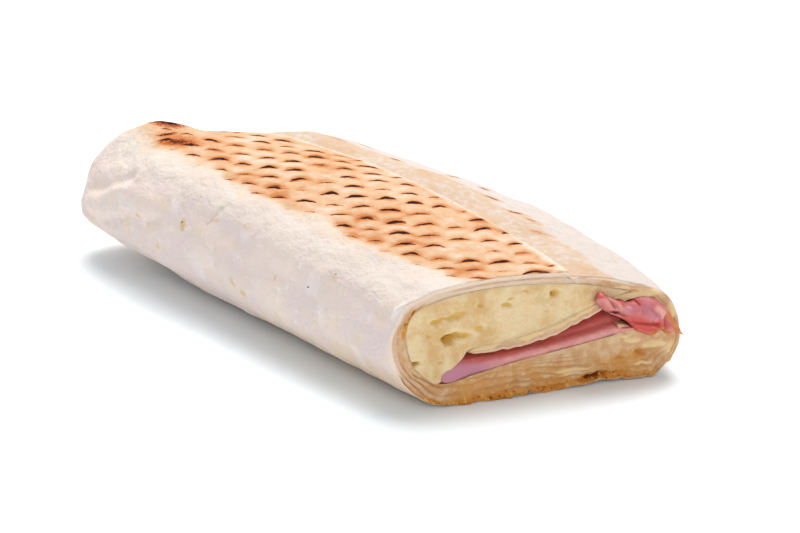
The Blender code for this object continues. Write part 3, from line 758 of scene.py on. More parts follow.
def skin_toast(points, raw, y, edge_in, up, flap):
    """How toasted and charred the skin is. The grilled patch is the flap's flat top behind
    GRILL_LIMIT, fading at the closed end; in it the dashes and ovals of grilled() lie on an
    uneven wash, with stains along its near edge and crisp flakes at the cut."""
    flat = smoothstep(up, *FLAT_UP)
    near = above_line(points, raw, GRILL_LIMIT, 1.6, 7.0, 8)
    ends = smoothstep(raw[..., 0] + 3.0 * noise(points, 8.0, 9), -74.0, -62.0)
    pale = smoothstep(noise(points, 16.0, 13), 0.25, 0.6) * smoothstep(-raw[..., 0], 10.0, 40.0)
    patch = flat * smoothstep(near, -1.5, 2.5) * flap * ends * (1.0 - 0.5 * pale)
    # Painted highlight: the toast fades out before the flap's free edge, so that edge stays pale as if lit
    rim = smoothstep(FLAP_EDGE - y + 0.8 * noise(points, 5.0, 19), *PALE_LIT_RIM)
    char, ovals, pattern = grilled(raw, patch * rim, flat)
    ovals = ovals * (0.75 + 0.5 * smoothstep(noise(points, 11.0, 11), -0.5, 0.5))
    wash = 0.24 + 0.18 * noise(points, 8.0, 10) + 0.10 * noise(points, 2.6, 44)
    stain = bump_at((near - 3.0) / 4.5) * smoothstep(noise(points, 6.0, 46), -0.4, 0.5)
    crisp = flap * flat * bump_at(edge_in / 1.8) * bump_at((y - 1.5) / 6.0)
    crisp = crisp * smoothstep(noise(points * [2.0, 1.0, 1.0], 2.4, 43), -0.4, 0.5)
    toast = OVAL_TOAST * ovals + patch * rim * wash + STAIN_TOAST * patch * stain
    toast = toast + CRISP_TOAST * crisp
    toast = toast + warm_tone(points, raw, y, up, flap)
    return np.clip(toast, 0.0, 1.5), char, pattern, patch


def standing_flake(points, y, z, edge_in):
    """How strongly the dry flake at the cut's near corner stands up: an oval bump with a
    noisy edge."""
    across, half_width, back = FLAKE
    flake = bump_at((y - across) / half_width) * smoothstep(z, 24.0, 27.0)
    return flake * bump_at(edge_in - back - 1.2 * noise(points, 3.0, 15))


def crumbled_edge(points, y, z, edge_in):
    """How far the bottom's edge at the cut is worn up, in mm: steps of noise of 3.6 and
    1.5 mm, and one wider notch."""
    across, half_width, high = NOTCH
    at_edge = bump_at(edge_in / 2.4) * (1.0 - smoothstep(z, 1.5, 5.0)) * smoothstep(y, -27.0, -18.0)
    worn = 0.7 * smoothstep(noise(points, 3.6, 16), -0.1, 0.7)
    worn = worn + 0.5 * smoothstep(noise(points, 1.5, 17), 0.0, 0.7)
    return at_edge * (worn + high * bump_at((y - across) / half_width))


def baked_edge(y, z, edge_in):
    """How baked the bottom's edge is at the cut: a bump in depth, faded upwards and to the left."""
    return bump_at(edge_in / 1.6) * (1.0 - smoothstep(z, 0.5, 3.0)) * smoothstep(y, -30.0, -18.0)


def side_marks(points, raw, up, flake):
    """The side's colours: freckles, dots, the tan towards the floor and the cut, and flour on
    the flake and on what isn't flat."""
    near_side = smoothstep(-raw[..., 1], 24.0, 30.0)
    tan = (1.0 - smoothstep(up, -0.2, 0.3)) * (1.0 - smoothstep(raw[..., 2], 4.0, 18.0))
    dusty = smoothstep(noise(points, 6.0, 18), 0.2, 0.7) * (1.0 - smoothstep(up, *FLAT_UP))
    return {"freckle": near_side * spots(raw[..., 0], raw[..., 2], FRECKLES),
            "dot": near_side * spots(raw[..., 0], raw[..., 2], DOTS),
            "tan": tan * (0.35 + 0.65 * smoothstep(raw[..., 0], -30.0, 60.0)),
            "flour": np.clip(1.2 * flake + 0.35 * dusty, 0.0, 1.0)}


def bread_skin():
    """The outer skin of the roll, with its relief, grill marks and colours: rows are sections
    from the cut to the tip, columns go round the outline. Each point of the outline is carried
    to its section by roll() and moved along the normal by the relief."""
    ring, across, thick = outline_ring()
    x = skin_stations()[:, None]
    edge_in = CUT_X - x
    pull = SEAM_PULL * bump_at((ring[None, :, 0] - SEAM_Y) / SEAM_REACH)
    pull = pull * smoothstep(edge_in, 0.0, 30.0)
    pull = pull * smoothstep(ring[None, :, 1], 18.0, 26.0)
    y = ring[None, :, 0] - pull
    z = ring[None, :, 1]
    points = roll(y, z, x)
    raw = points - SHIFT
    normal = normals(points, True)
    outward = normal * np.sign(normal[len(x) // 2, np.argmax(z[0]), 2])
    up = outward[..., 2]
    flap = np.where(np.arange(len(ring))[None, :] < len(ring) // 2, 1.0, 0.0)
    toast, char, pattern, patch = skin_toast(points, raw, y, edge_in, up, flap)
    flake = standing_flake(points, y, z, edge_in)
    relief = skin_relief(points, raw, patch, toast, flake)
    turn_in = 1.0 - np.clip(1.0 - edge_in / EDGE_ROUND, 0.0, 1.0) ** 2
    corner = 1.0 - np.sqrt(np.clip(turn_in, 0.0, 1.0))
    free = smoothstep(points[..., 2], 0.3, 5.0) * smoothstep(x - TIP_X, 0.0, 3.0)
    points = points + outward * ((relief - SKIN_INSET - 0.25 * corner) * free)[..., None]
    worn = crumbled_edge(points, y, z, edge_in)
    points[..., 2] = np.maximum(points[..., 2] + worn, 0.0)
    fields = {"toast": np.maximum(toast, 0.6 * baked_edge(y, z, edge_in)), "char": char,
              "above": smoothstep(up, 0.4, 0.95),
              "far": (1.0 - flap) * smoothstep(up, 0.1, 0.6),
              **side_marks(points, raw, up, flake), **pattern}
    return points, fields, ring, across, thick


# How thick one layer of the bread is at the cut
LAYER = 1.3
CUT_ROWS = 46
# How far behind the cut the sections of the hollow's walls lie
HOLLOW_DEPTHS = np.array([0.0, 0.8, 2.5, 6.0, 14.0, 30.0, 50.0, 80.0, 110.0, 136.0, 138.0])
# Features of the bread's cut face in the plane of the cut: (y, z, half width, half height,
# strength) of its wells and of the soft pale lumps pressed out of it
WELLS = [
    (16.4, 1.7, 3.4, 0.9, 3.2), (27.4, 7.2, 1.6, 0.9, 2.0), (21.6, 6.2, 1.2, 0.5, 1.0),
    (-6.0, 4.6, 0.6, 0.4, 0.9), (2.5, 2.8, 0.7, 0.4, 1.0), (-20.5, 3.4, 0.8, 0.4, 0.8),
    (12.3, 31.0, 2.0, 0.35, 0.8), (-30.8, 9.6, 0.6, 0.4, 0.6),
]
LUMPS = [
    (8.5, 4.9, 5.5, 0.9, 0.9), (24.6, 11.4, 2.6, 1.0, 0.9), (30.4, 9.4, 2.6, 1.2, 1.1),
    (33.8, 8.0, 1.8, 2.2, 0.8), (27.6, 4.4, 3.0, 0.9, 0.8), (22.6, 12.9, 1.8, 0.9, 0.8),
    (29.6, 24.2, 4.0, 1.3, 1.0), (21.5, 26.3, 3.5, 1.0, 0.9), (35.0, 18.5, 1.2, 2.6, 0.9),
]
# Toasted streaks of the cut face: (y and z of both ends, half width, strength)
TOASTED = [
    (-34.2, 21.0, -33.4, 24.6, 0.5, 1.0), (-33.4, 24.6, -31.9, 27.3, 0.45, 1.1),
    (-31.9, 27.3, -29.0, 29.2, 0.4, 0.8), (-29.0, 29.2, -25.6, 30.3, 0.35, 0.5),
    (0.8, 31.0, 5.8, 30.7, 0.5, 0.8), (-2.0, 32.4, 6.6, 32.2, 0.4, 0.8),
    (10.7, 30.6, 17.8, 29.2, 0.7, 0.7), (16.8, 28.9, 20.0, 28.1, 0.5, 0.5),
    (-37.4, 12.0, -35.6, 9.0, 0.4, 0.5),
    (-29.5, 3.2, -25.0, 1.2, 0.5, 0.7), (-35.6, 24.4, -35.2, 22.0, 0.35, 0.5),
]


def cut_layers(points, depth, thick, low):
    """Grooves between the layers of the cut, and the slot under the outer turn. The depth under
    the skin, divided by a layer's thickness and bent by noise, counts the layers, and a groove
    is a smoothstep of 2 * |fraction - 0.5|."""
    bend = (0.25 + 0.45 * low) * noise(points, 8.0, 21) + 0.22 * noise(points, 2.8, 22)
    phase = depth / (LAYER * (1.0 + 0.35 * low)) + bend
    cord = np.abs(np.mod(phase, 1.0) - 0.5) * 2.0
    kept = (0.3 + 0.7 * smoothstep(noise(points, 12.0, 23), -0.5, 0.3)) * (0.4 + 0.6 * low)
    slot = bump_at((depth - thick[None]) / 0.28) * smoothstep(noise(points, 6.0, 24), -0.5, 0.2)
    return smoothstep(cord, 0.35, 1.0) * kept, slot


def cut_browning(points, y, z, low, well):
    """How brown the cut face is: a warm lower part, a baked bottom, toasted streaks and wells."""
    streak = strokes(y + 0.3 * noise(points, 1.6, 32), z + 0.3 * noise(points, 1.6, 33), TOASTED)
    bottom = 1.0 - smoothstep(z + 0.7 * noise(points, 4.0, 34), 0.2, 3.4)
    warm = 0.36 * low + 0.25 * low * noise(points, 5.0, 35)
    return np.clip(warm + bottom * 0.62 + 0.9 * streak + 0.3 * well, 0.0, 1.4)


def cut_face(ring, hollow, outer_section, inner_section, thick):
    """The bread's cut face: a point is outer + share * (hollow - outer), moved along X by the
    lumps, less the wells, grooves and slot, and by noise."""
    share = np.linspace(0.0, 1.0, CUT_ROWS)[:, None]
    points = ring[None] + (hollow - ring)[None] * share[..., None]
    section = outer_section[None] + (inner_section - outer_section)[None] * share[..., None]
    y = section[..., 0]
    z = section[..., 1]
    span = np.linalg.norm(inner_section - outer_section, axis=-1)[None]
    depth = share * span
    low = 1.0 - smoothstep(z, 6.0, 13.0)
    groove, slot = cut_layers(points, depth, thick, low)
    edges = smoothstep(depth, 0.0, 0.35) * smoothstep(span - depth, 0.0, 0.35)
    well = spots(y + 0.5 * noise(points, 1.5, 25), z + 0.3 * noise(points, 1.5, 26), WELLS)
    lump = spots(y + 0.9 * noise(points, 2.5, 27), z + 0.5 * noise(points, 2.0, 28), LUMPS)
    height = 0.45 * noise(points, 7.0, 29) + (0.15 + 0.3 * low) * noise(points, 2.4, 30)
    height = height + 0.3 * low * noise(points, 1.0, 31) + 0.9 * lump - well
    height = height - (0.25 + 0.35 * low) * groove - 0.3 * slot
    points[..., 0] = points[..., 0] + height * edges + 0.25 * share
    thin = np.clip(smoothstep(-y, 20.0, 32.0) + smoothstep(z, 26.0, 29.0), 0.0, 1.0)
    dusted = np.maximum((1.0 - smoothstep(depth, 0.2, 1.6)) * (1.0 - low),
                        0.55 * smoothstep(z, 27.0, 30.0))
    fields = {"crumb": 1.0, "crust": cut_browning(points, y, z, low, well),
              "layer": np.maximum(groove, 0.7 * slot),
              "pink": thin * bump_at((depth - thick[None] * 0.62) / 0.55),
              "lump": np.clip(lump * 1.2 - 0.5 * groove, 0.0, 1.0),
              "flour": dusted * smoothstep(30.0 - y, 0.0, 10.0)}
    return points, fields


def cut_roughness(points):
    """How far the cut's edge stands out along X: noise of 3 and 1.3 mm, more among the bottom
    layers."""
    low = 1.0 - smoothstep(points[..., 2], 3.0, 10.0)
    return (0.2 + 0.5 * low) * noise(points, 3.0, 40) + 0.35 * low * noise(points, 1.3, 41)


def make_flatbread(finish):
    """The rolled sheet: its skin, its layered cut face, the walls of its hollow, which are the
    hollow's outline carried into the roll, and a fan from the last wall's ring to its middle."""
    skin, skin_fields, ring, across, thick = bread_skin()
    skin[0, :, 0] = skin[0, :, 0] + cut_roughness(skin[0])
    rim = hollow_ring(across)
    walls = carried(rim, CUT_X - HOLLOW_DEPTHS[:, None])
    face, face_fields = cut_face(skin[0], walls[0], ring, rim, thick)
    end = np.stack([walls[-1], np.broadcast_to(walls[-1].mean(axis=0), walls[-1].shape)])
    inside = {"crumb": 1.0, "crust": 0.2}
    sheets = [(skin, True, skin_fields), (face, True, face_fields), (walls, True, inside),
              (end, True, inside)]
    return surface("flatbread_roll", sheets, finish, "flatbread")


def evenly(points, count):
    """The spline through the points, as count points an equal distance apart along it."""
    curve, _ = spline(points, 0.15)
    length = np.concatenate([[0.0], np.cumsum(np.linalg.norm(np.diff(curve, axis=0), axis=1))])
    place = np.linspace(0.0, length[-1], count)
    return np.column_stack([np.interp(place, length, curve[:, axis]) for axis in (0, 1)])


def enclosed(front, values, top, under, fields, top_fields=None):
    """A closed piece: its front sheet, a top and an under wall that run into the roll from the
    front's first and last rows, both ends, and a back between the walls' last rows."""
    top[0] = front[0]
    under[0] = front[-1]
    share = np.linspace(0.0, 1.0, len(front))[:, None, None]
    back = top[-1][None] + (under[-1] - top[-1])[None] * share
    sheets = [(front, False, values), (top, False, top_fields or fields),
              (under, False, fields), (back, False, fields)]
    for column in (0, -1):
        down = (under - top)[:, column][:, None] * share[:, 0].T[..., None]
        side = top[:, column][:, None] + down
        side[0] = front[:, column]
        sheets.append((side, False, fields))
    return sheets


def front_section(upper, lower, rows):
    """Places between two curves, row by row: upper + share * (lower - upper), with the share
    and the roundness sqrt(1 - (2 share - 1)^4), which is 0 at both curves and 1 between."""
    share = np.linspace(0.0, 1.0, rows)[:, None]
    section = upper[None] + (lower - upper)[None] * share[..., None]
    inset = np.sqrt(np.clip(1.0 - (2.0 * share - 1.0) ** 4, 0.0, 1.0))
    return section, share, inset


# How far behind the cut the sections of the filling lie
INNER_DEPTHS = np.concatenate([[0.0, 0.5, 1.2, 2.2, 3.5, 5.0, 6.6, 8.0], np.linspace(16.0, 138.0, 8)])
# The cheese fills the hollow under its roof, down to the sheet's inner end and the ham
CHEESE_GRID = (60, 190)
CHEESE_OUT = 0.35
CHEESE_TOP = [(-33.25, 17.5)] + ROOF[7::-1]
CHEESE_BOTTOM = [
    (-33.25, 17.5), (-31.35, 12.2), (-28.2, 8.6), (-25.6, 7.0), (-22.4, 10.2), (-19.6, 12.8),
    (-17.9, 15.1), (-14.9, 15.6), (-4.7, 16.7), (4.6, 19.1), (12.2, 22.2), (18.4, 24.2), (23.5, 25.3),
]
# Holes and ochre dimples of the cheese: (y, z, half width, half height, depth)
CHEESE_HOLES = [
    (-22.7, 18.5, 1.1, 1.0, 2.4), (-21.3, 19.2, 1.3, 0.8, 1.6), (-18.9, 19.2, 2.0, 0.8, 0.7),
    (-26.0, 23.9, 1.5, 0.7, 0.7), (-23.9, 24.6, 1.3, 0.5, 0.5), (-21.4, 24.6, 1.6, 0.7, 0.7),
    (-19.8, 25.6, 1.1, 0.5, 0.5), (4.3, 27.4, 0.8, 0.7, 1.4), (-31.3, 13.3, 1.2, 0.45, 1.5),
    (-15.1, 27.0, 0.7, 0.5, 0.6), (-15.5, 20.8, 1.2, 0.8, 0.4), (-8.2, 26.2, 1.4, 0.8, 0.5),
    (-3.9, 28.9, 1.2, 0.35, 0.3), (-27.5, 20.4, 0.5, 0.4, 0.4), (-24.4, 12.6, 0.8, 0.3, 0.5),
    (-7.2, 27.8, 1.0, 0.5, 0.3),
]


def make_cheese(finish):
    """The melted cheese that fills the roll above the sheet's inner end. Its front stands out
    by noise of 9 and 3 mm, less a smooth-walled well for each hole: with d the distance in half
    sizes, depth * exp(-(d - 0.2)^2.6). At its outline it falls back with the roundness."""
    rows, columns = CHEESE_GRID
    upper = evenly(CHEESE_TOP, columns)
    lower = evenly(CHEESE_BOTTOM, columns)
    section, _, inset = front_section(upper, lower, rows)
    front = carried(section, CUT_X)
    y = section[..., 0] + 0.55 * noise(front, 1.6, 52)
    z = section[..., 1] + 0.35 * noise(front, 1.6, 53)
    hole = np.zeros(front.shape[:2])
    height = 0.35 * noise(front, 9.0, 50) + 0.2 * noise(front, 3.0, 51)
    for across, up, wide, high, deep in CHEESE_HOLES:
        away = np.hypot((y - across) / wide, (z - up) / high)
        height = height - deep * bump_at(np.clip(away - 0.2, 0.0, None) ** 1.3)
        hole = np.maximum(hole, bump_at(away / 1.15) * min(1.0, 0.45 + 0.4 * deep))
    front[..., 0] = front[..., 0] + CHEESE_OUT + height * inset
    top = carried(upper, CUT_X - INNER_DEPTHS[:, None])
    under = carried(lower, CUT_X - INNER_DEPTHS[:, None])
    values = {"hole": hole, "edge": np.maximum(1.0 - inset, smoothstep(y, 11.0, 18.0))}
    sheets = enclosed(front, values, top, under, {"hole": 0.0, "edge": 1.0})
    return surface("melted_cheese", sheets, finish, "cheese")


# The outline of the sheet's inner end in the plane of the cut, from right to left
TONGUE_GRID = (18, 170)
TONGUE_OUT = 0.5
TONGUE_SUNK = 1.3
TONGUE_UNDER = [
    (26.5, 23.2), (22.5, 22.9), (19.6, 22.2), (14.5, 20.4), (9.0, 18.0), (2.5, 15.6),
    (-4.7, 14.3), (-11.0, 13.9), (-15.8, 14.0), (-18.0, 14.6),
]
TONGUE_OVER = [
    (26.5, 25.0), (23.0, 25.4), (18.4, 24.6), (12.2, 22.9), (4.6, 20.1), (-4.7, 17.8),
    (-14.9, 16.4), (-18.0, 14.6),
]


def make_tongue(finish):
    """The sheet's inner end, which runs between the cheese and the ham. Its upper edge sinks
    into the cheese by a smoothstep, a bump makes a thin lip near its lower edge, and that edge
    is crinkled by sines of the way along it."""
    rows, columns = TONGUE_GRID
    upper = evenly(TONGUE_OVER, columns)
    lower = evenly(TONGUE_UNDER, columns)
    along = np.linspace(0.0, 1.0, columns)
    crinkle = 0.28 * np.sin(48.0 * along) * np.sin(17.0 * along) + 0.12 * np.sin(95.0 * along)
    lower[:, 1] = lower[:, 1] + crinkle * (1.0 - along) ** 0.3
    lower[-1] = upper[-1]
    section, share, inset = front_section(upper, lower, rows)
    front = carried(section, CUT_X)
    lip = bump_at((share - 0.86) / 0.13)
    height = 0.25 * noise(front, 7.0, 60) + 0.16 * noise(front, 1.6, 61) + 0.35 * lip
    sunk = TONGUE_SUNK * (1.0 - smoothstep(share, 0.0, 0.4))
    front[..., 0] = front[..., 0] + TONGUE_OUT - sunk + height * (0.2 + 0.8 * inset)
    top = carried(upper, CUT_X - INNER_DEPTHS[:, None])
    under = carried(lower, CUT_X - INNER_DEPTHS[:, None])
    # Painted highlight: the lip near the lower edge is painted paler, as if lit
    values = {"crumb": 1.0, "crust": 0.05 + 0.15 * noise(front, 4.0, 62), "pink": 0.3,
              "flour": 0.1 + 0.3 * lip,
              "lump": 1.0 - smoothstep(share + 0.3 * noise(front, 3.0, 63), 0.2, 0.8)}
    sheets = enclosed(front, values, top, under, {"crumb": 1.0, "crust": 0.3})
    return surface("sheet_inner_end", sheets, finish, "flatbread")


# The slice's outline in the plane of the cut, from left to right
SLICE_GRID = (20, 150)
SLICE_DRAWN = 2.2
RAMP_LENGTH = 8.0
SLICE_TOP = [
    (-24.8, 8.0), (-24.2, 9.6), (-22.0, 11.2), (-18.6, 12.2), (-10.0, 12.4), (-2.0, 13.0),
    (6.0, 14.0), (13.0, 15.2), (19.0, 16.2), (21.4, 15.9), (24.6, 15.2),
]
SLICE_BOTTOM = [
    (-24.8, 8.0), (-23.8, 7.1), (-21.0, 7.1), (-16.0, 8.1), (-9.6, 9.2), (-4.4, 10.0), (2.0, 10.9),
    (8.5, 11.8), (13.7, 12.5), (18.9, 13.3), (24.6, 15.0),
]
# How far the slice's top has risen where its ramp ends behind the cut: (y, rise)
SLICE_RISE = [
    (-24.0, 0.0), (-18.0, 0.3), (-10.0, 0.8), (-2.0, 1.2), (6.0, 2.2), (13.0, 3.6), (19.8, 5.2),
    (24.0, 5.8),
]


def make_ham_slice(finish):
    """The slice of ham under the sheet's inner end. Its cut edge is rounded by a power of a
    sine from its top down and streaked by fibre noise. Its red top rises behind it like a
    hollowed ramp, rise * (depth / length)^1.15, and its right end draws in by smoothsteps."""
    rows, columns = SLICE_GRID
    upper = evenly(SLICE_TOP, columns)
    lower = evenly(SLICE_BOTTOM, columns)
    section, share, _ = front_section(upper, lower, rows)
    front = carried(section, CUT_X)
    fibre = noise(front * [1.0, 1.0, 0.3], 1.0, 70)
    height = np.sin(math.pi / 2.0 * np.clip(share / 0.55, 0.0, 1.0)) ** 0.7
    left = 1.0 - smoothstep(section[..., 0], -24.0, -16.0)
    height = (1.5 - left) * height - 1.3 + 1.6 * left - 0.3 * share ** 4
    height = height + 0.05 * fibre + 0.2 * noise(front, 6.0, 71)
    tip = smoothstep(section[..., 0], 19.5, 22.5)
    front[..., 0] = front[..., 0] + height + 1.0 * tip
    depth = INNER_DEPTHS[:, None]
    rise = np.interp(upper[:, 0], *np.array(SLICE_RISE).T)[None]
    risen = np.clip(depth / RAMP_LENGTH, 0.0, 1.0) ** 1.15
    drawn = smoothstep(depth, 0.0, 1.5) * smoothstep(upper[None, :, 0], 18.0, 24.6) * SLICE_DRAWN
    top = roll(upper[None, :, 0] - drawn, upper[None, :, 1] + rise * risen, CUT_X - depth)
    under = roll(lower[None, :, 0] - drawn, lower[None, :, 1], CUT_X - depth)
    top[1:, :, 2] = top[1:, :, 2] + 0.12 * noise(top[1:] * [1.0, 1.0, 0.5], 2.5, 72)
    top[1, :, 0] = top[1, :, 0] - 1.1
    top[2, :, 0] = top[2, :, 0] - 0.9
    mauve = 1.0 - smoothstep(section[..., 0] + 2.0 * noise(front, 3.0, 73), -20.0, -2.0)
    face = 0.6 * (1.0 - smoothstep(share, 0.0, 0.6)) * (1.0 - 0.8 * left)
    face = face + 0.12 * noise(front, 4.0, 74)
    # Painted shade: darker crimson at the slice's lower right end, under the fold
    crease = 0.8 * smoothstep(section[..., 0], 20.5, 23.5) * smoothstep(share, 0.7, 1.0)
    values = {"face": face, "mauve": 0.9 * mauve, "crease": crease, "pale": 0.0, "seared": 0.0}
    # Painted shade: the ramp is painted darker deeper behind the cut, where it lies in the recess
    ramp = {"face": 0.55 + 0.45 * np.clip(depth / 6.0, 0.0, 1.0),
            "crease": 0.25 * smoothstep(depth, 4.0, 9.0)}
    sheets = enclosed(front, values, top, under, {"face": 0.9}, ramp)
    return surface("ham_slice_cut", sheets, finish, "ham_slice")


# The fold's outline where it stands out of the cut, and inside the roll, from left to right
FOLD_GRID = (60, 200)
FOLD_HEIGHT = (0.35, 4.6)
FOLD_TOP = [
    (13.4, 24.8), (14.0, 26.5), (15.4, 26.4), (16.6, 25.4), (17.8, 24.5), (19.0, 23.8),
    (20.4, 23.7), (21.8, 22.9), (23.1, 22.8), (24.6, 23.3), (27.0, 23.3), (29.2, 22.7),
    (31.3, 21.2), (33.0, 19.0), (34.3, 16.4), (35.8, 13.9), (37.6, 11.0),
]
FOLD_BOTTOM = [
    (13.4, 24.8), (13.6, 23.9), (14.6, 23.0), (15.4, 21.9), (16.6, 20.9), (17.8, 20.0),
    (19.2, 19.3), (20.5, 18.6), (22.6, 17.1), (24.0, 15.5), (25.1, 14.1), (27.3, 12.9),
    (29.2, 12.0), (30.6, 12.9), (32.0, 13.5), (33.4, 11.9), (34.8, 12.5), (37.6, 11.0),
]
FOLD_INNER_TOP = [
    (20.9, 19.4), (21.6, 20.6), (24.6, 21.7), (29.0, 20.9), (32.0, 18.6), (33.5, 15.8),
    (33.2, 13.4),
]
FOLD_INNER_UNDER = [
    (20.9, 19.4), (21.3, 18.3), (23.3, 16.9), (27.4, 13.7), (31.0, 12.3), (33.2, 13.4),
]
# Its ridges and creases: (y and z of both ends, half width, height)
FOLD_RIDGES = [
    (13.2, 26.0, 18.0, 22.4, 2.2, 1.7), (14.4, 26.2, 16.7, 21.8, 0.7, 0.7),
    (17.9, 24.0, 19.2, 21.4, 0.6, 0.7), (21.8, 21.2, 28.4, 17.8, 2.4, 1.3),
    (28.8, 20.6, 30.8, 18.8, 1.7, 0.9), (24.4, 15.9, 30.6, 14.4, 0.6, 0.5),
    (33.0, 18.6, 35.8, 12.0, 0.7, 0.6), (22.6, 22.9, 23.6, 21.0, 0.7, 0.5),
    (26.2, 22.4, 29.4, 21.8, 1.0, 0.5), (12.7, 25.0, 13.2, 26.6, 0.4, 0.5),
]
# The creases are sunk into the front, and their colour is darkened as painted shade
FOLD_GROOVES = [
    (16.0, 25.6, 17.6, 22.2, 0.55, 1.0), (19.6, 24.0, 21.3, 22.7, 0.6, 0.8),
    (17.4, 20.4, 19.3, 20.2, 0.55, 1.6), (19.3, 20.2, 21.2, 19.2, 0.5, 1.2),
    (23.6, 23.9, 24.6, 21.9, 0.32, 1.2), (27.4, 22.0, 29.0, 17.2, 0.5, 0.5),
    (23.2, 16.9, 30.6, 15.4, 0.4, 0.9), (24.8, 14.9, 29.6, 13.5, 0.4, 0.6),
    (31.8, 18.0, 33.0, 13.4, 0.5, 1.0), (13.4, 26.4, 13.9, 24.0, 0.35, 0.6),
    (30.4, 22.2, 32.2, 18.6, 0.4, 0.4), (30.2, 13.6, 31.6, 14.6, 0.5, 0.8),
]
FOLD_MAUVE = [
    (22.0, 22.2, 29.0, 19.4, 1.9, 0.9), (29.0, 22.6, 31.4, 20.4, 0.9, 0.5),
]
# Pale patches, and painted highlights along the fold's ridges
FOLD_PALE_HIGHLIGHTS = [
    (29.0, 20.4, 30.6, 18.6, 1.2, 0.8), (14.2, 25.6, 16.2, 22.2, 0.6, 0.45),
    (18.3, 23.2, 19.2, 21.5, 0.5, 0.6), (21.2, 21.8, 22.0, 21.4, 0.4, 0.7),
]
FOLD_RED = [
    (23.4, 16.2, 31.0, 14.2, 1.5, 1.0), (20.0, 23.4, 24.6, 23.0, 0.8, 0.6),
    (22.0, 18.6, 26.0, 16.8, 0.9, 0.5), (12.8, 26.4, 15.4, 26.3, 0.6, 0.7),
    (30.6, 16.2, 32.8, 14.6, 1.1, 0.8),
]
FOLD_SEARED = [
    (33.2, 18.0, 36.0, 11.6, 0.9, 1.1), (28.4, 12.7, 30.8, 13.4, 0.7, 0.9),
    (31.4, 17.6, 32.2, 16.0, 0.6, 0.6), (31.6, 14.0, 33.2, 12.6, 0.8, 0.8),
]


# Behind its front the fold draws in by this share, this far before the cut, in mm
FOLD_TUCK = 0.12
FOLD_OUT = 0.25


def make_ham_fold(finish):
    """The crumpled fold of ham. Its front is a height over the plane of the cut, kept within
    FOLD_HEIGHT: a dome of 1.3 mm times the roundness, a soft stroke for each ridge and crease,
    and ruffles of 3 and 1 mm."""
    rows, columns = FOLD_GRID
    upper = evenly(FOLD_TOP, columns)
    lower = evenly(FOLD_BOTTOM, columns)
    section, share, inset = front_section(upper, lower, rows)
    place = np.stack([section[..., 0], section[..., 1], np.zeros(section.shape[:2])], axis=-1)
    y = section[..., 0] + 0.3 * noise(place, 2.2, 80)
    z = section[..., 1] + 0.3 * noise(place, 2.2, 81)
    groove = strokes(y, z, FOLD_GROOVES)
    height = 0.5 + 1.3 * inset + strokes(y, z, FOLD_RIDGES) - 0.75 * groove
    height = height + (0.4 * noise(place, 3.0, 82) + 0.26 * noise(place, 1.2, 83)) * (0.3 + 0.7 * inset)
    height = np.clip(height, *FOLD_HEIGHT)
    front = carried(section, CUT_X + height)
    inner_top = evenly(FOLD_INNER_TOP, columns)
    inner_under = evenly(FOLD_INNER_UNDER, columns)
    depth = np.concatenate([[0.0, 0.0, 0.6], np.linspace(4.0, 137.0, 8)])[:, None]
    top = carried(inner_top, CUT_X - depth)
    under = carried(inner_under, CUT_X - depth)
    top[1] = carried(upper + (inner_top - upper) * FOLD_TUCK, CUT_X + FOLD_OUT)
    under[1] = carried(lower + (inner_under - lower) * FOLD_TUCK, CUT_X + FOLD_OUT)
    # Painted shade: the grooves and, by this rim, the fold's top and bottom outline are painted darker
    rim = 1.0 - smoothstep(np.minimum(share, 1.0 - share), 0.0, 0.09)
    values = {"mauve": 0.22 + strokes(y, z, FOLD_MAUVE), "pale": strokes(y, z, FOLD_PALE_HIGHLIGHTS),
              "face": 0.36 + 0.7 * strokes(y, z, FOLD_RED) + 0.2 * noise(place, 3.5, 84),
              "seared": strokes(y, z, FOLD_SEARED), "crease": np.clip(groove, 0.0, 1.2) * 0.6 + 0.35 * rim}
    sheets = enclosed(front, values, top, under, {"face": 0.8, "crease": 0.4})
    return surface("ham_fold_out", sheets, finish, "ham_fold")


def make_floor():
    """A wide pale floor under the wrap."""
    half = 3.0
    mesh = bpy.data.meshes.new("floor")
    corners = [(-half, -half, 0.0), (half, -half, 0.0), (half, half, 0.0), (-half, half, 0.0)]
    mesh.from_pydata(corners, [], [(0, 1, 2, 3)])
    floor = bpy.data.objects.new("floor", mesh)
    bpy.context.scene.collection.objects.link(floor)
    finish = bpy.data.materials.new("pale_floor")
    finish.use_nodes = True
    shader = finish.node_tree.nodes["Principled BSDF"]
    shader.inputs["Base Color"].default_value = (0.89, 0.935, 0.955, 1.0)
    shader.inputs["Roughness"].default_value = 0.9
    shader.inputs["Specular IOR Level"].default_value = 0.1
    mesh.materials.append(finish)


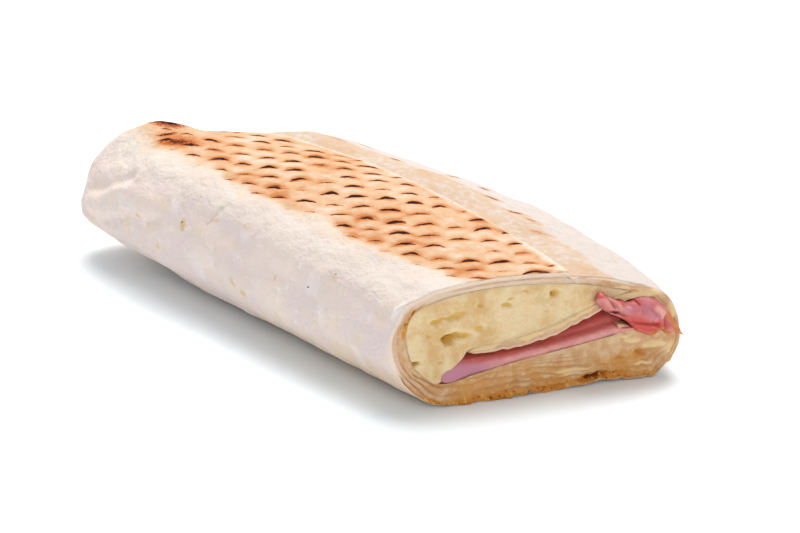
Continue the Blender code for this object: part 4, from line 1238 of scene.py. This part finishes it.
# The camera looks down at the cut end from its right: angles in degrees, lengths in mm
CAMERA_TURN = 50.0
CAMERA_TILT = 22.0
CAMERA_AWAY = 750.0
CAMERA_AIM = (-15.5, 29.3, 0.0)
LENS_PIXELS = 2600.0
PICTURE_WIDTH = 800.0
SENSOR = 36.0


# Square soft lights: name, place and aim in metres, size in metres, watts, colour
LIGHTS = [
    ("key", (-0.32, 0.36, 1.13), (0.0, 0.0, 0.0), 0.95, 21.0, (1.0, 0.988, 0.975)),
    ("front", (1.0, -0.5, 0.6), (0.0, 0.0, 0.02), 0.7, 3.0, (1.0, 0.99, 0.97)),
]


def add_light(name, place, aim, size, power, colour):
    """A square soft light at a place, turned towards its aim."""
    data = bpy.data.lights.new(name, 'AREA')
    data.shape = 'SQUARE'
    data.size = size
    data.energy = power
    data.color = colour
    light = bpy.data.objects.new(name, data)
    light.location = place
    light.rotation_euler = (Vector(aim) - Vector(place)).to_track_quat("-Z", "Y").to_euler()
    bpy.context.scene.collection.objects.link(light)


def make_camera_and_lights():
    """The camera at the picture's angle, and soft light from above."""
    turn = math.radians(CAMERA_TURN)
    tilt = math.radians(CAMERA_TILT)
    back = Vector((math.sin(turn) * math.cos(tilt), -math.cos(turn) * math.cos(tilt), math.sin(tilt)))
    aim = (Vector(CAMERA_AIM) + Vector(SHIFT)) * MM
    data = bpy.data.cameras.new("camera")
    data.sensor_width = SENSOR
    data.lens = LENS_PIXELS / PICTURE_WIDTH * SENSOR
    camera = bpy.data.objects.new("camera", data)
    camera.location = aim + back * (CAMERA_AWAY * MM)
    camera.rotation_euler = (-back).to_track_quat("-Z", "Y").to_euler()
    bpy.context.scene.collection.objects.link(camera)
    bpy.context.scene.camera = camera
    for light in LIGHTS:
        add_light(*light)
    world = bpy.data.worlds.new("studio")
    world.use_nodes = True
    background = world.node_tree.nodes["Background"]
    background.inputs["Color"].default_value = (0.91, 0.965, 1.0, 1.0)
    background.inputs["Strength"].default_value = 0.5
    bpy.context.scene.world = world
    bpy.context.scene.view_settings.view_transform = 'Standard'


make_floor()
make_camera_and_lights()
bread = flatbread_finish()
make_flatbread(bread)
make_tongue(bread)
make_cheese(cheese_finish())
make_ham_slice(ham_finish("ham_slice_finish"))
make_ham_fold(ham_finish("ham_fold_finish"))
